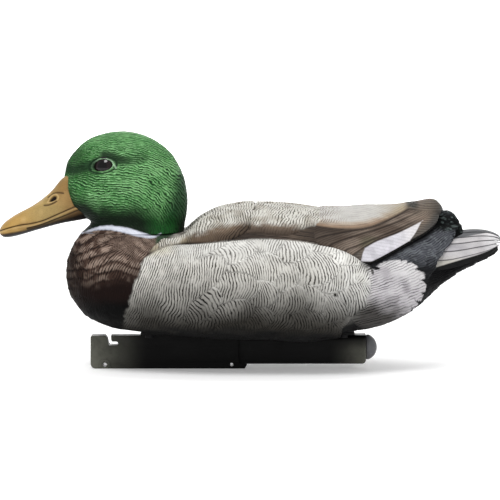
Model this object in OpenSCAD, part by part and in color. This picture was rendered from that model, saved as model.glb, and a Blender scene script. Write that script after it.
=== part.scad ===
// Floating drake decoy: a hollow moulded body, a head that swivels on a neck socket, and a
// ballasted keel with its line slot. The bill points to -X, the tail to +X, and z = 0 is the
// flat bottom of the keel. All sizes are in millimetres.

/* [Overall] */
// Length from the tip of the bill to the tip of the tail
overall_length = 420; // [400:5:440]
// Greatest width of the body
body_width = 172; // [164:2:180]
// Thickness of the moulded walls
wall = 3; // [2.4:0.2:3.4]

/* [Head] */
// Greatest width of the head
head_width = 68; // [64:1:70]
// Height of the seam between the head and the body
seam_z = 115.5; // [115:0.1:116]
// Distance from the centre of the part forward to the swivel axis
swivel_setback = 94.5; // [93:0.5:95]
// Radius of each glass eye
eye_r = 7.5; // [6.8:0.1:7.8]
// Turn of the head each way before the stop lug lands, in degrees
head_turn = 60; // [30:5:60]

/* [Keel] */
// Thickness of the front blade
blade_t = 14; // [12:1:14]
// Width of the ballast housing
housing_w = 25; // [24:0.5:26]
// Diameter of the ballast bore
ballast_d = 18.5; // [16:0.5:18.5]
// Radius of the front line hole
front_hole_r = 1.8; // [1.5:0.1:2]
// Radius of the rear line hole
rear_hole_r = 1.5; // [1.2:0.1:1.8]
// Clear height of the line slot's foot
slot_w = 3; // [2.4:0.1:3.2]

/* [Hidden] */

$fn = 48;
gap = 0.3;                        // clearance between the head and the body
fit = 0.1;                        // running clearance on a radius
half_length = overall_length / 2;
half_width = body_width / 2;
axis_x = -swivel_setback;
vent_x = 37;
vent_r = 5;

// Body sections from breast to tail: [x, belly z, z of the widest point, back z, half-width],
// with x and half-width as shares of half_length and half_width.
BODY = [
    [-0.733,  79.0,  81.5,  84.0, 0.05],
    [-0.724,  67.0,  81.5,  95.0, 0.26],
    [-0.695,  55.5,  80.0, 107.0, 0.45],
    [-0.645,  45.0,  78.0, 117.0, 0.62],
    [-0.560,  36.5,  76.0, 120.5, 0.76],
    [-0.465,  32.0,  74.0, 121.5, 0.85],
    [-0.330,  30.0,  73.0, 124.5, 0.92],
    [-0.190,  29.0,  73.0, 133.5, 0.97],
    [ 0.000,  28.5,  74.0, 139.5, 1.00],
    [ 0.190,  29.0,  75.0, 138.5, 0.98],
    [ 0.380,  32.0,  78.0, 136.5, 0.90],
    [ 0.525,  37.5,  82.0, 137.0, 0.77],
    [ 0.645,  50.0,  88.0, 139.5, 0.61],
    [ 0.725,  64.0,  93.0, 139.5, 0.51],
    [ 0.785,  75.0,  96.0, 131.5, 0.45],
    [ 0.843,  83.5,  99.0, 119.5, 0.43],
    [ 0.905,  90.0, 102.0, 116.0, 0.42],
    [ 0.965,  97.0, 105.0, 113.5, 0.32],
    [ 1.000, 102.5, 106.0, 109.5, 0.12]];
BODY_SIDES = 36;
BELLY_POWER = 0.78;               // flat-bottomed below the widest point
BACK_POWER = 0.94;                // nearly elliptical above it
CAVITY_FIRST = 1;                 // sections between which the body is hollow
CAVITY_LAST = 13;

// Head sections from the seam to the crown: [z above the seam, front x, rear x, half-width],
// with x measured from the swivel axis and half-width as a share of half the head width.
HEAD = [
    [ 0.3, -46.0, 39.0, 1.02],
    [ 3.0, -42.5, 39.6, 0.97],
    [ 6.0, -40.2, 40.0, 0.94],
    [10.5, -41.5, 40.4, 0.94],
    [17.5, -48.0, 40.9, 0.97],
    [25.5, -53.3, 41.3, 1.00],
    [34.5, -57.0, 41.3, 1.00],
    [44.5, -58.5, 39.5, 0.97],
    [54.5, -56.5, 35.5, 0.91],
    [64.5, -51.0, 29.5, 0.81],
    [72.5, -43.0, 21.5, 0.66],
    [78.5, -34.5, 12.5, 0.48],
    [82.5, -25.5,  2.5, 0.28],
    [84.0, -15.5, -8.5, 0.08]];
HEAD_SIDES = 32;
HEAD_WIDEST = 2;                  // x of the widest point, from the swivel axis
FACE_POWER = 1.12;                // narrows the head towards the bill

// The face plane carries the bill. It leans back from the forehead to the chin.
FACE_TOP = [-152.5, 162.5];
FACE_TILT = 24;                   // degrees from the vertical
face_x = half_length - 210;       // moves the bill with the overall length
bill_x = -145 - face_x;           // middle of the bill where it leaves the face

// Bill sections from the face to the tip: [distance ahead of the face, bottom z, top z,
// half-width]. The sections lean with the face and stand up towards the tip.
BILL = [
    [ 0.0, 126.5, 160.5, 14.0],
    [ 8.0, 123.8, 154.2, 13.3],
    [17.0, 121.3, 148.2, 12.4],
    [27.0, 118.5, 142.5, 11.8],
    [37.0, 115.2, 137.9, 12.1],
    [47.0, 112.2, 133.0, 13.0],
    [55.0, 110.2, 127.6, 13.0],
    [61.0, 110.2, 121.8, 10.6],
    [64.2, 111.8, 118.2,  6.4],
    [65.0, 113.6, 116.4,  3.0]];
BILL_LENGTH = 65;
BILL_SIDES = 24;

// Keel, in the X-Z plane
front_x = -134;
blade_end_x = -3.2;
blade_top_z = 27.8;
pedestal_x = [-92, 88];
pedestal_t = 14;
housing_x = [-10, 97.4];
housing_z = [4.2, 28.4];
housing_edge_r = 5;
plate_z = [29.8, 32.8];
plate_w = 42;
gasket_t = 1;
land_z = plate_z[1] + gasket_t;
land_inset = 0.4;
screw_x = [-84, -4, 78];
screw_y = 16.5;
screw_r = 2;
screw_clear_r = 2.3;
insert_r = 3;
insert_len = 8;
boss_r = 6;
front_hole = [-122, 3.1];
rear_hole = [-15.4, 3.4];
ballast_z = 17.6;
ballast_x = [-4, housing_x[1]];
bar_clear = 0.25;
pad_t = 3;
plug_r = 10.6;
plug_spigot = 12;
plug_flange = 2;

// Neck socket and adapter, measured down from the seam
socket_bore_r = 20 + fit;
spigot_r = 20;
socket_outer_r = 25.9;
socket_flange_r = 28.8;
socket_flange_t = 2.2;
socket_depth = 16.5;
pocket_r = 41.2;
neck_plate = 5;
adapter_flange_r = 28;
adapter_flange_t = 3;
lock_groove = [20.2, 18];         // depth of the groove's floor and roof below the seam
o_ring_r = 1.2;
o_ring_depth = 7;
lug_turn = 12;
lug_r = [22.2, 25.2];
adapter_screw_r = 24;

// ---- Interpolated sections ------------------------------------------------------------------

function clamp_index(i, n) = max(0, min(n - 1, i));
function catmull(a, b, c, d, t) =
    0.5 * (2 * b + (c - a) * t + (2 * a - 5 * b + 4 * c - d) * t * t
           + (3 * b - a - 3 * c + d) * t * t * t);
function section_at(rows, i, t) =
    catmull(rows[clamp_index(i - 1, len(rows))], rows[i],
            rows[clamp_index(i + 1, len(rows))], rows[clamp_index(i + 2, len(rows))], t);
function sections(rows, steps) = [
    for (i = [0 : len(rows) - 2]) for (s = [0 : steps - 1]) section_at(rows, i, s / steps),
    rows[len(rows) - 1]];
function slice(rows, first, last) = [for (i = [first : last]) rows[i]];
function signed_power(v, p) = sign(v) * pow(abs(v), p);

function body_ring(row, inset = 0) = [
    for (k = [0 : BODY_SIDES - 1])
        let (a = 360 * k / BODY_SIDES,
             power = cos(a) > 0 ? BACK_POWER : BELLY_POWER,
             rise = cos(a) > 0 ? row[3] - row[2] - inset : row[2] - row[1] - inset)
        [row[0] * (half_length - 1.5 * inset),
         -(row[4] * half_width - inset) * signed_power(sin(a), power),
         row[2] + rise * signed_power(cos(a), power)]];

function head_ring(row, inset = 0) = [
    for (k = [0 : HEAD_SIDES - 1])
        let (a = 360 * k / HEAD_SIDES,
             reach = cos(a) > 0 ? HEAD_WIDEST - row[1] - inset : row[2] - HEAD_WIDEST - inset,
             power = cos(a) > 0 ? FACE_POWER : 1)
        [axis_x + HEAD_WIDEST - reach * cos(a),
         -(row[3] * head_width / 2 - inset) * signed_power(sin(a), power),
         seam_z + row[0]]];

function bill_ring(row) = [
    for (k = [0 : BILL_SIDES - 1])
        let (a = 360 * k / BILL_SIDES,
             lean = tan(FACE_TILT) * (1 - row[0] / BILL_LENGTH),
             rise = (row[2] - row[1]) / 2 * cos(a))
        [bill_x - row[0] - lean * rise,
         row[3] * signed_power(sin(a), 0.85),
         (row[1] + row[2]) / 2 + rise]];

// A closed skin over a list of rings
module skin(rings) {
    n = len(rings[0]);
    last = len(rings) - 1;
    polyhedron(
        points = [for (ring = rings) for (p = ring) p],
        faces = [
            [for (k = [0 : n - 1]) k],
            for (i = [0 : last - 1]) for (k = [0 : n - 1]) each [
                [i * n + k, (i + 1) * n + k, (i + 1) * n + (k + 1) % n],
                [i * n + k, (i + 1) * n + (k + 1) % n, i * n + (k + 1) % n]],
            [for (k = [0 : n - 1]) last * n + (n - 1 - k)]]);
}

// ---- Body -----------------------------------------------------------------------------------

module at_screws() {
    for (x = screw_x, side = [-1, 1]) translate([x, side * screw_y, 0]) children();
}

module body_cavity() {
    rows = slice(BODY, CAVITY_FIRST, CAVITY_LAST);
    difference() {
        skin([for (row = sections(rows, 2)) body_ring(row, wall)]);
        // plate below the neck seam and the collar behind it
        translate([-half_length, -half_width, seam_z - neck_plate])
            cube([half_length + axis_x + pocket_r + wall, body_width, 60]);
        // floor over the keel land
        translate([pedestal_x[0] - wall, -plate_w / 2 - wall, 0])
            cube([pedestal_x[1] - pedestal_x[0] + 2 * wall, plate_w + 2 * wall, land_z + wall]);
        at_screws() translate([0, 0, land_z]) cylinder(r = boss_r, h = insert_len + 3);
    }
}

module body_shell() {
    color("#b9b4aa") difference() {
        skin([for (row = sections(BODY, 2)) body_ring(row)]);
        body_cavity();
        // land for the keel plate
        translate([pedestal_x[0] - land_inset, -plate_w / 2 - land_inset, 0])
            cube([pedestal_x[1] - pedestal_x[0] + 2 * land_inset, plate_w + 2 * land_inset, land_z]);
        at_screws() translate([0, 0, land_z - 1]) cylinder(r = insert_r, h = insert_len + 1);
        // neck seat, the pocket behind it and the hole for the socket
        translate([-half_length, -half_width, seam_z])
            cube([half_length + axis_x + 14, body_width, 60]);
        translate([axis_x, 0, seam_z]) cylinder(r = pocket_r, h = 60);
        translate([axis_x, 0, seam_z - neck_plate - 1])
            cylinder(r = socket_outer_r, h = neck_plate + 2);
        translate([axis_x, 0, seam_z - socket_flange_t])
            cylinder(r = socket_flange_r, h = socket_flange_t + 1);
        translate([vent_x, 0, land_z - 1]) cylinder(r = vent_r, h = wall + 4);
    }
}

module vent_plug() {
    color("#2a2a2a") translate([vent_x, 0, land_z + 0.1]) {
        cylinder(r = vent_r - 0.05, h = wall + 1.4);
        translate([0, 0, wall + 0.2]) cylinder(r = vent_r + 1, h = 1.6);
    }
}

module keel_inserts() {
    color("#c49a4a") at_screws() translate([0, 0, land_z]) difference() {
        cylinder(r = insert_r - 0.05, h = insert_len - 0.5);
        translate([0, 0, -1]) cylinder(r = screw_r + 0.05, h = insert_len + 2);
    }
}

// ---- Neck socket and head mounting ----------------------------------------------------------

module sector(r_in, r_out, h, turn) {
    rotate([0, 0, 180 - turn / 2]) rotate_extrude(angle = turn)
        translate([r_in, 0]) square([r_out - r_in, h]);
}

module tube(r_out, r_in, z_low, z_high) {
    translate([0, 0, z_low]) difference() {
        cylinder(r = r_out, h = z_high - z_low);
        translate([0, 0, -1]) cylinder(r = r_in, h = z_high - z_low + 2);
    }
}

module neck_socket() {
    color("#3a3a38") translate([axis_x, 0, seam_z]) difference() {
        union() {
            translate([0, 0, -socket_depth])
                cylinder(r = socket_outer_r - 0.05, h = socket_depth - 0.1);
            translate([0, 0, -socket_flange_t + 0.05])
                cylinder(r = socket_flange_r - 0.1, h = socket_flange_t - 0.15);
        }
        translate([0, 0, -socket_depth - 1]) cylinder(r = socket_bore_r, h = socket_depth + 2);
        // arc in which the stop lug travels
        translate([0, 0, -1.9])
            sector(lug_r[0] - gap, lug_r[1] + gap, 3, 2 * head_turn + lug_turn + 3);
    }
}

module neck_adapter() {
    color("#4a4a46") translate([axis_x, 0, seam_z]) {
        difference() {
            union() {
                translate([0, 0, gap]) cylinder(r = adapter_flange_r, h = adapter_flange_t);
                translate([0, 0, -22.5]) cylinder(r = spigot_r, h = 22.5 + gap + 0.1);
                translate([0, 0, -1.5]) sector(lug_r[0], lug_r[1], 2.2, lug_turn);
            }
            translate([0, 0, -24]) cylinder(r = spigot_r - 4.2, h = 40);
            tube(spigot_r + 3, spigot_r - 2.4, -lock_groove[0], -lock_groove[1]);
            tube(spigot_r + 3, spigot_r - 2.4, -o_ring_depth - 1.5, -o_ring_depth + 1.5);
            for (k = [0 : 3]) rotate(45 + 90 * k) translate([adapter_screw_r, 0, gap - 1])
                cylinder(r = 1.9, h = adapter_flange_t + 2);
            for (k = [0 : 3]) rotate(45 + 90 * k) translate([adapter_screw_r, 0, gap - 1])
                cylinder(r = 3.6, h = 2.4);
        }
    }
}

module adapter_screws() {
    color("#9a9a98") translate([axis_x, 0, seam_z + gap])
        for (k = [0 : 3]) rotate(45 + 90 * k) translate([adapter_screw_r, 0, 0]) {
            translate([0, 0, 0.1]) cylinder(r = 3.4, h = 1.2);
            cylinder(r = 1.7, h = 11);
        }
}

module swivel_o_ring() {
    color("#1c1c1c") translate([axis_x, 0, seam_z - o_ring_depth])
        rotate_extrude() translate([socket_bore_r - o_ring_r - 0.05, 0]) circle(r = o_ring_r);
}

module friction_washer() {
    color("#8d9296") translate([axis_x, 0, seam_z])
        tube(spigot_r + 3.4, spigot_r + 0.15, -socket_depth - 1.3, -socket_depth - gap);
}

module lock_ring() {
    color("#e8e4d8") translate([axis_x, 0, seam_z]) difference() {
        tube(spigot_r + 3, spigot_r - 2.2, -lock_groove[0] + 0.1, -lock_groove[1] - 0.05);
        translate([0, -2, -lock_groove[0] - 1]) cube([spigot_r + 5, 4, 5]);
    }
}

// ---- Head -----------------------------------------------------------------------------------

// Everything ahead of the face plane, moved back by depth
module ahead_of_face(depth = 0) {
    translate([FACE_TOP[0] - face_x, 0, FACE_TOP[1]]) rotate([0, -FACE_TILT, 0])
        translate([-80 + depth, -60, -90]) cube([80, 120, 130]);
}

module along_face_normal(down) {
    translate([FACE_TOP[0] - face_x, 0, FACE_TOP[1]]) rotate([0, -FACE_TILT, 0])
        translate([0, 0, -down]) rotate([0, 90, 0]) children();
}

// Middle of each eye's front edge, with the axis leaning forward and up
eye_seat = [-121.8, 24.6, 171.6];
eye_lean = [9, 19];
module at_eye(side) {
    translate([eye_seat[0] - face_x, side * eye_seat[1], eye_seat[2]])
        rotate([0, 0, side * eye_lean[1]]) rotate([side * (eye_lean[0] - 90), 0, 0]) children();
}

module head_cavity() {
    rows = slice(HEAD, 3, len(HEAD) - 2);
    difference() {
        skin([for (row = sections(rows, 2)) head_ring(row, wall + 0.5)]);
        ahead_of_face(4);
        for (side = [-1, 1]) at_eye(side) translate([0, 0, -8.5]) cylinder(r = eye_r + 2.5, h = 12);
    }
}

module head_shell() {
    color("#2f6b3a") difference() {
        skin([for (row = sections(HEAD, 2)) head_ring(row)]);
        head_cavity();
        ahead_of_face();
        for (side = [-1, 1]) at_eye(side) translate([0, 0, -5.6]) cylinder(r = eye_r + 0.1, h = 20);
        along_face_normal(20) translate([0, 0, -1]) cylinder(r = 7.1, h = 9);
        translate([axis_x, 0, seam_z - 1]) cylinder(r = 12, h = 20);
        translate([axis_x, 0, seam_z - 1])
            cylinder(r = adapter_flange_r + 0.1, h = adapter_flange_t + gap + 1.1);
        translate([axis_x, 0, seam_z]) for (k = [0 : 3]) rotate(45 + 90 * k)
            translate([adapter_screw_r, 0, 0]) cylinder(r = 1.75, h = 11.6);
    }
}

module bill() {
    color("#a9884e") {
        difference() {
            skin([for (row = sections(BILL, 2)) bill_ring(row)]);
            translate([FACE_TOP[0] - face_x, 0, FACE_TOP[1]]) rotate([0, -FACE_TILT, 0])
                translate([-0.05, -60, -90]) cube([80, 120, 130]);
        }
        along_face_normal(20) translate([0, 0, -3]) cylinder(r = 7, h = 9.5);
    }
}

// Glass eye: a flat-backed button with a domed front
module eye(side) {
    dome_r = 13;
    color("#1a0f0c") at_eye(side) rotate_extrude() intersection() {
        translate([0, -5.5]) square([eye_r, 12]);
        translate([0, 2.6 - dome_r]) circle(r = dome_r);
    }
}

// ---- Keel -----------------------------------------------------------------------------------

module plate(t) {
    rotate([90, 0, 0]) linear_extrude(height = t, center = true) children();
}

// Outline of the front blade, with its rounded corners and its line slot
module blade_outline() {
    low_r = 4.2;
    high_r = 1.8;
    difference() {
        union() {
            translate([front_x + low_r, 0]) square([blade_end_x - front_x - low_r, 10]);
            translate([front_x, low_r]) square([20, blade_top_z - low_r - high_r]);
            translate([front_x + high_r, 5])
                square([blade_end_x - front_x - high_r, blade_top_z - 5]);
            translate([front_x + low_r, low_r]) circle(r = low_r);
            translate([front_x + high_r, blade_top_z - high_r]) circle(r = high_r);
        }
        slot_outline();
    }
}

// L-shaped slot: a leaning throat down from the top edge, then a foot running to the rear
module slot_outline() {
    foot_z = 21.2;
    polygon([[-121.3, blade_top_z + 1], [-117.1, blade_top_z + 1], [-117.0, 25.2],
        [-115.9, foot_z + slot_w / 2], [-115.9, foot_z - slot_w / 2],
        [-117.4, foot_z - slot_w / 2], [-118.9, foot_z], [-119.6, 25.2]]);
    translate([-117.4, foot_z - slot_w / 2]) square([5, slot_w]);
    translate([-112.4, foot_z]) circle(r = slot_w / 2);
    translate([-117.4, foot_z]) circle(r = slot_w / 2);
}

module housing() {
    length = housing_x[1] - housing_x[0];
    height = housing_z[1] - housing_z[0];
    r = housing_edge_r;
    translate([housing_x[0], 0, housing_z[0]]) rotate([90, 0, 90]) linear_extrude(height = length)
        union() {
            translate([-housing_w / 2, r]) square([housing_w, height - r - 1.5]);
            translate([-housing_w / 2 + 1.5, r]) square([housing_w - 3, height - r]);
            translate([-housing_w / 2 + r, 0]) square([housing_w - 2 * r, r + 1]);
            for (side = [-1, 1]) {
                translate([side * (housing_w / 2 - r), r]) circle(r = r);
                translate([side * (housing_w / 2 - 1.5), height - 1.5]) circle(r = 1.5);
            }
        }
}

module keel_shell() {
    color("#1b1b1a") difference() {
        union() {
            plate(blade_t) blade_outline();
            translate([pedestal_x[0], -pedestal_t / 2, 14])
                cube([pedestal_x[1] - pedestal_x[0], pedestal_t, plate_z[0] - 14]);
            housing();
        }
        translate([ballast_x[0], 0, ballast_z]) rotate([0, 90, 0])
            cylinder(d = ballast_d, h = ballast_x[1] - ballast_x[0] + 1);
        translate([front_hole[0], 0, front_hole[1]]) rotate([90, 0, 0])
            cylinder(r = front_hole_r, h = 40, center = true);
        translate([rear_hole[0], 0, rear_hole[1]]) rotate([90, 0, 0])
            cylinder(r = rear_hole_r, h = 40, center = true);
    }
}

// Mounting plate welded along the top of the keel
module keel_plate() {
    color("#232322") difference() {
        translate([pedestal_x[0], -plate_w / 2, plate_z[0]])
            cube([pedestal_x[1] - pedestal_x[0], plate_w, plate_z[1] - plate_z[0]]);
        at_screws() translate([0, 0, plate_z[0] - 1])
            cylinder(r = screw_clear_r, h = plate_z[1] - plate_z[0] + 2);
    }
}

module keel_gasket() {
    color("#30302e") difference() {
        translate([pedestal_x[0], -plate_w / 2, plate_z[1]])
            cube([pedestal_x[1] - pedestal_x[0], plate_w, gasket_t]);
        at_screws() translate([0, 0, plate_z[1] - 1]) cylinder(r = screw_clear_r, h = gasket_t + 2);
    }
}

module keel_screws() {
    color("#b4b6b8") at_screws() difference() {
        union() {
            translate([0, 0, plate_z[0] - 2.4]) cylinder(r = 3.7, h = 2.4);
            translate([0, 0, plate_z[0] - 0.5]) cylinder(r = screw_r, h = insert_len + 2.5);
        }
        // cross recess
        for (turn = [0, 90]) rotate(turn) translate([-2, -0.5, plate_z[0] - 3.4]) cube([4, 1, 2.2]);
    }
}

module ballast_bar() {
    color("#6b6b6b") translate([ballast_x[0] + 0.2, 0, ballast_z]) rotate([0, 90, 0])
        cylinder(d = ballast_d - 2 * bar_clear,
                 h = ballast_x[1] - ballast_x[0] - plug_spigot - pad_t - 0.4);
}

module ballast_pad() {
    color("#50504c") translate([ballast_x[1] - plug_spigot - pad_t - 0.1, 0, ballast_z])
        rotate([0, 90, 0]) cylinder(d = ballast_d - 1, h = pad_t - 0.1);
}

module ballast_plug() {
    color("#3b3b3a") translate([housing_x[1] + gap, 0, ballast_z]) rotate([0, 90, 0])
        rotate_extrude() difference() {
            union() {
                // spigot, flange and low dome
                translate([0, -plug_spigot]) square([ballast_d / 2 - fit, plug_spigot + 1]);
                square([plug_r, plug_flange]);
                intersection() {
                    translate([0, plug_flange - 4.2]) circle(r = 11.4);
                    translate([0, plug_flange - 0.1]) square([plug_r, 12]);
                }
            }
            translate([ballast_d / 2 - 1.7, -8]) square([4, 2.6]);
        }
}

module plug_o_ring() {
    color("#151515") translate([housing_x[1] + gap - 6.7, 0, ballast_z]) rotate([0, 90, 0])
        rotate_extrude() translate([ballast_d / 2 - 0.85, 0]) circle(r = 0.8);
}

// ---- Nodes ----------------------------------------------------------------------------------

body_shell();
neck_socket();
vent_plug();
keel_inserts();
keel_gasket();
keel_plate();
keel_shell();
keel_screws();
ballast_bar();
ballast_pad();
head_shell();
bill();
eye(-1);  // eye_left
eye(1);  // eye_right
neck_adapter();
adapter_screws();
swivel_o_ring();
friction_washer();
lock_ring();
ballast_plug();
plug_o_ring();
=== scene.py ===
"""Looks of the floating drake decoy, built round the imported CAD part.

Lengths below are in millimetres and become metres when a mesh is made. The bill points to -X, the
tail to +X, +Z is up, and z = 0 is the flat bottom of the keel.
"""
import math

import bmesh
import bpy
import numpy as np
from mathutils import Matrix, Vector


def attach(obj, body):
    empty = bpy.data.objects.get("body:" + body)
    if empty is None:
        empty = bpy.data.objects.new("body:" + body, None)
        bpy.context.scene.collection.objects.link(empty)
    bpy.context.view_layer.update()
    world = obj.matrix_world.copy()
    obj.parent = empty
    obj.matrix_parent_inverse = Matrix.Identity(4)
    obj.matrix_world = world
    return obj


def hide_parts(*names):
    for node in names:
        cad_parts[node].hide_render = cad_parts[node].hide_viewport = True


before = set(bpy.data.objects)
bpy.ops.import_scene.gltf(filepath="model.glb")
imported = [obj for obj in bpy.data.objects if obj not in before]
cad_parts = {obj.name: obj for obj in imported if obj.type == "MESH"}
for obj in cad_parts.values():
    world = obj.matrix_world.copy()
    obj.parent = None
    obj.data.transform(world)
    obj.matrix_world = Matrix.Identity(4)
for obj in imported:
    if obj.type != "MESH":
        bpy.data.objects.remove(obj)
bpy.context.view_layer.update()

MM = 0.001
SIDES = ((-1, "left"), (1, "right"))
SIDE_TILT = math.radians(5)   # the side features are laid out as seen from this far above level
SIDE_DISTANCE = 2333.0        # and from this far away
MIDDLE_Z = 99.5               # at this height

# ---- Numbers and fields ----------------------------------------------------------------------


def srgb(red, green, blue):
    """Linear colour of an sRGB one given from 0 to 255."""
    value = np.array([red, green, blue], float) / 255
    return np.where(value <= 0.04045, value / 12.92, ((value + 0.055) / 1.055) ** 2.4)


def ramp(value, low, high):
    """0 below low, 1 above high, smooth between; low may be the larger."""
    t = np.clip((value - low) / (high - low), 0, 1)
    return t * t * (3 - 2 * t)


def mix(a, b, share):
    """Blend of two fields, or of two colours, with one share per point."""
    a, b, share = np.asarray(a, float), np.asarray(b, float), np.asarray(share, float)
    if (a.ndim and a.shape[-1] == 3) or (b.ndim and b.shape[-1] == 3):
        share = share[..., None]
    return a * (1 - share) + b * share


def tinted(colour, *layers):
    """Lays layers of (red, green, blue, share) over a colour, one after the other."""
    for red, green, blue, share in layers:
        colour = mix(colour, srgb(red, green, blue), share)
    return colour


def spline(rows, t):
    """Catmull-Rom rows at the fractional indices t."""
    rows = np.asarray(rows, float)
    last = len(rows) - 1
    i = np.clip(np.floor(t).astype(int), 0, last - 1)
    f = (t - i)[:, None]
    a, b = rows[np.clip(i - 1, 0, last)], rows[i]
    c, d = rows[i + 1], rows[np.clip(i + 2, 0, last)]
    return 0.5 * (2 * b + (c - a) * f + (2 * a - 5 * b + 4 * c - d) * f ** 2
                  + (3 * b - a - 3 * c + d) * f ** 3)


def curve_at(x, points):
    """Height of the smooth curve through points at x; level beyond its ends."""
    fine = spline(points, np.linspace(0, len(points) - 1, 24 * len(points)))
    return np.interp(x, fine[:, 0], fine[:, 1])


def outline(points, steps=8):
    """Closed smooth outline through points. A point given twice makes a corner."""
    rows = np.asarray(points, float)
    n = len(rows)
    wrapped = np.vstack([rows[-1:], rows, rows[:2]])
    return spline(wrapped, 1 + np.arange(n * steps) / steps)


def inside_by(x, y, loop):
    """Distance inside a closed loop, negative outside it."""
    ax, ay = loop[:, 0], loop[:, 1]
    bx, by = np.roll(ax, -1), np.roll(ay, -1)
    best = np.full(x.shape, 1e9)
    inside = np.zeros(x.shape, bool)
    for x0, y0, x1, y1 in zip(ax, ay, bx, by):
        dx, dy = x1 - x0, y1 - y0
        span = dx * dx + dy * dy
        if span < 1e-12:
            continue
        t = np.clip(((x - x0) * dx + (y - y0) * dy) / span, 0, 1)
        best = np.minimum(best, (x - x0 - t * dx) ** 2 + (y - y0 - t * dy) ** 2)
        if y0 != y1:
            inside ^= ((y0 > y) != (y1 > y)) & (x < dx * (y - y0) / dy + x0)
    return np.where(inside, 1, -1) * np.sqrt(best)


def distance_to(x, y, points):
    """Distance to the smooth open line through points."""
    line = spline(points, np.linspace(0, len(points) - 1, 8 * len(points)))
    best = np.full(x.shape, 1e9)
    for (x0, y0), (x1, y1) in zip(line[:-1], line[1:]):
        dx, dy = x1 - x0, y1 - y0
        t = np.clip(((x - x0) * dx + (y - y0) * dy) / (dx * dx + dy * dy + 1e-12), 0, 1)
        best = np.minimum(best, (x - x0 - t * dx) ** 2 + (y - y0 - t * dy) ** 2)
    return np.sqrt(best)


def hashed(*cells, seed=0):
    """Repeatable number in 0..1 for each set of whole-number cells."""
    mixed = np.full(np.shape(cells[0]), 2166136261 + 977 * seed, np.uint32)
    for cell in cells:
        mixed = (mixed ^ np.asarray(cell).astype(np.int64).astype(np.uint32)) * np.uint32(16777619)
        mixed = (mixed ^ (mixed >> np.uint32(15))) * np.uint32(2246822519)
        mixed ^= mixed >> np.uint32(13)
    return mixed.astype(float) / 4294967295


def noise(x, y, z, size, seed=0):
    """Smooth noise in -1..1 with features about size across."""
    grid = [np.floor(np.asarray(v, float) / size).astype(np.int64) for v in (x, y, z)]
    part = [np.asarray(v, float) / size - g for v, g in zip((x, y, z), grid)]
    part = [f * f * f * (f * (6 * f - 15) + 10) for f in part]
    total = 0
    for corner in range(8):
        step = [(corner >> axis) & 1 for axis in range(3)]
        weight = 1
        for f, s in zip(part, step):
            weight = weight * (f if s else 1 - f)
        total = total + weight * hashed(*(g + s for g, s in zip(grid, step)), seed=seed)
    return 2 * total - 1


def groove(phase, width=0.5):
    """1 along the middle of each line, falling to 0 at width of the way to the next."""
    off = np.abs(phase - np.floor(phase) - 0.5) * 2
    return 1 - ramp(off, width * 0.25, width)


class Scales:
    """Feathers laid like tiles: each covers the root of the one behind it.

    along grows towards the tips and across runs sideways, both in millimetres. Gives, for every
    point, how far along its feather it lies (0 root, 1 tip), the distance to the feather's edge, the
    place of its middle across, and a number in 0..1 of the feather's own.
    """

    def __init__(self, along, across, length, width, jitter=0.2, seed=0):
        step = length * 0.52
        row = np.floor(along / step).astype(np.int64)
        shape = along.shape
        self.t, self.edge, self.own = (np.zeros(shape) for _ in range(3))
        self.middle = np.array(across, float)
        open_points = np.ones(shape, bool)
        for back in (2, 1, 0, -1):
            r = row - back
            shift = (r % 2) * 0.5
            column = np.floor(across / width - shift).astype(np.int64)
            for turn in (0, 1, -1):
                c = column + turn
                rnd = [hashed(r, c, seed=seed + k) for k in range(3)]
                root = (r + jitter * (rnd[0] - 0.5)) * step
                mid = (c + 0.5 + shift + jitter * (rnd[1] - 0.5)) * width
                t = (along - root) / length
                reach = width * 0.60 * np.sqrt(np.clip(1 - np.clip((t - 0.42) / 0.58, 0, 1) ** 2, 0, 1))
                off = across - mid
                hit = open_points & (t >= 0) & (t < 1) & (np.abs(off) < reach)
                edge = np.minimum(reach - np.abs(off), (1 - t) * length)
                self.t[hit] = t[hit]
                self.edge[hit] = edge[hit]
                self.own[hit] = rnd[2][hit]
                self.middle[hit] = mid[hit]
                open_points &= ~hit


# ---- Meshes and attributes -------------------------------------------------------------------


def grid_areas(points):
    """Area vectors of a grid of closed rings, pointing out of the solid that they bound."""
    down = np.gradient(points, axis=0)
    side = (np.roll(points, -1, axis=1) - np.roll(points, 1, axis=1)) / 2
    area = np.cross(side, down)
    middle = points.reshape(-1, 3).mean(axis=0)
    return area if np.sum(area * (points - middle)) > 0 else -area


def grid_normals(points):
    area = grid_areas(points)
    return area / np.maximum(np.linalg.norm(area, axis=-1, keepdims=True), 1e-9)


def grid_mesh(name, points):
    """Closed mesh of (rows, columns, 3) rings in millimetres."""
    rows, columns = points.shape[:2]
    index = np.arange(rows * columns).reshape(rows, columns)
    right = np.roll(index, -1, axis=1)
    quads = np.stack([index[:-1], right[:-1], right[1:], index[1:]], axis=-1).reshape(-1, 4)
    corners = np.concatenate([quads.ravel(), index[0][::-1], index[-1]]).astype(np.int32)
    sizes = np.concatenate([np.full(len(quads), 4), [columns, columns]]).astype(np.int32)
    across = np.cross(points[:-1, :] - np.roll(points, -1, axis=1)[:-1, :], points[1:, :] - points[:-1, :])
    middle = points.reshape(-1, 3).mean(axis=0)
    if np.sum(across * (points[:-1] - middle)) > 0:
        corners = corners[::-1].copy()
        sizes = sizes[::-1].copy()
    mesh = bpy.data.meshes.new(name)
    mesh.vertices.add(rows * columns)
    mesh.vertices.foreach_set("co", (points.reshape(-1) * MM).astype(np.float32))
    mesh.loops.add(len(corners))
    mesh.loops.foreach_set("vertex_index", corners)
    mesh.polygons.add(len(sizes))
    mesh.polygons.foreach_set("loop_start", np.concatenate([[0], np.cumsum(sizes)[:-1]]).astype(np.int32))
    mesh.polygons.foreach_set("use_smooth", np.ones(len(sizes), bool))
    mesh.update(calc_edges=True)
    mesh.validate()
    return mesh


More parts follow.
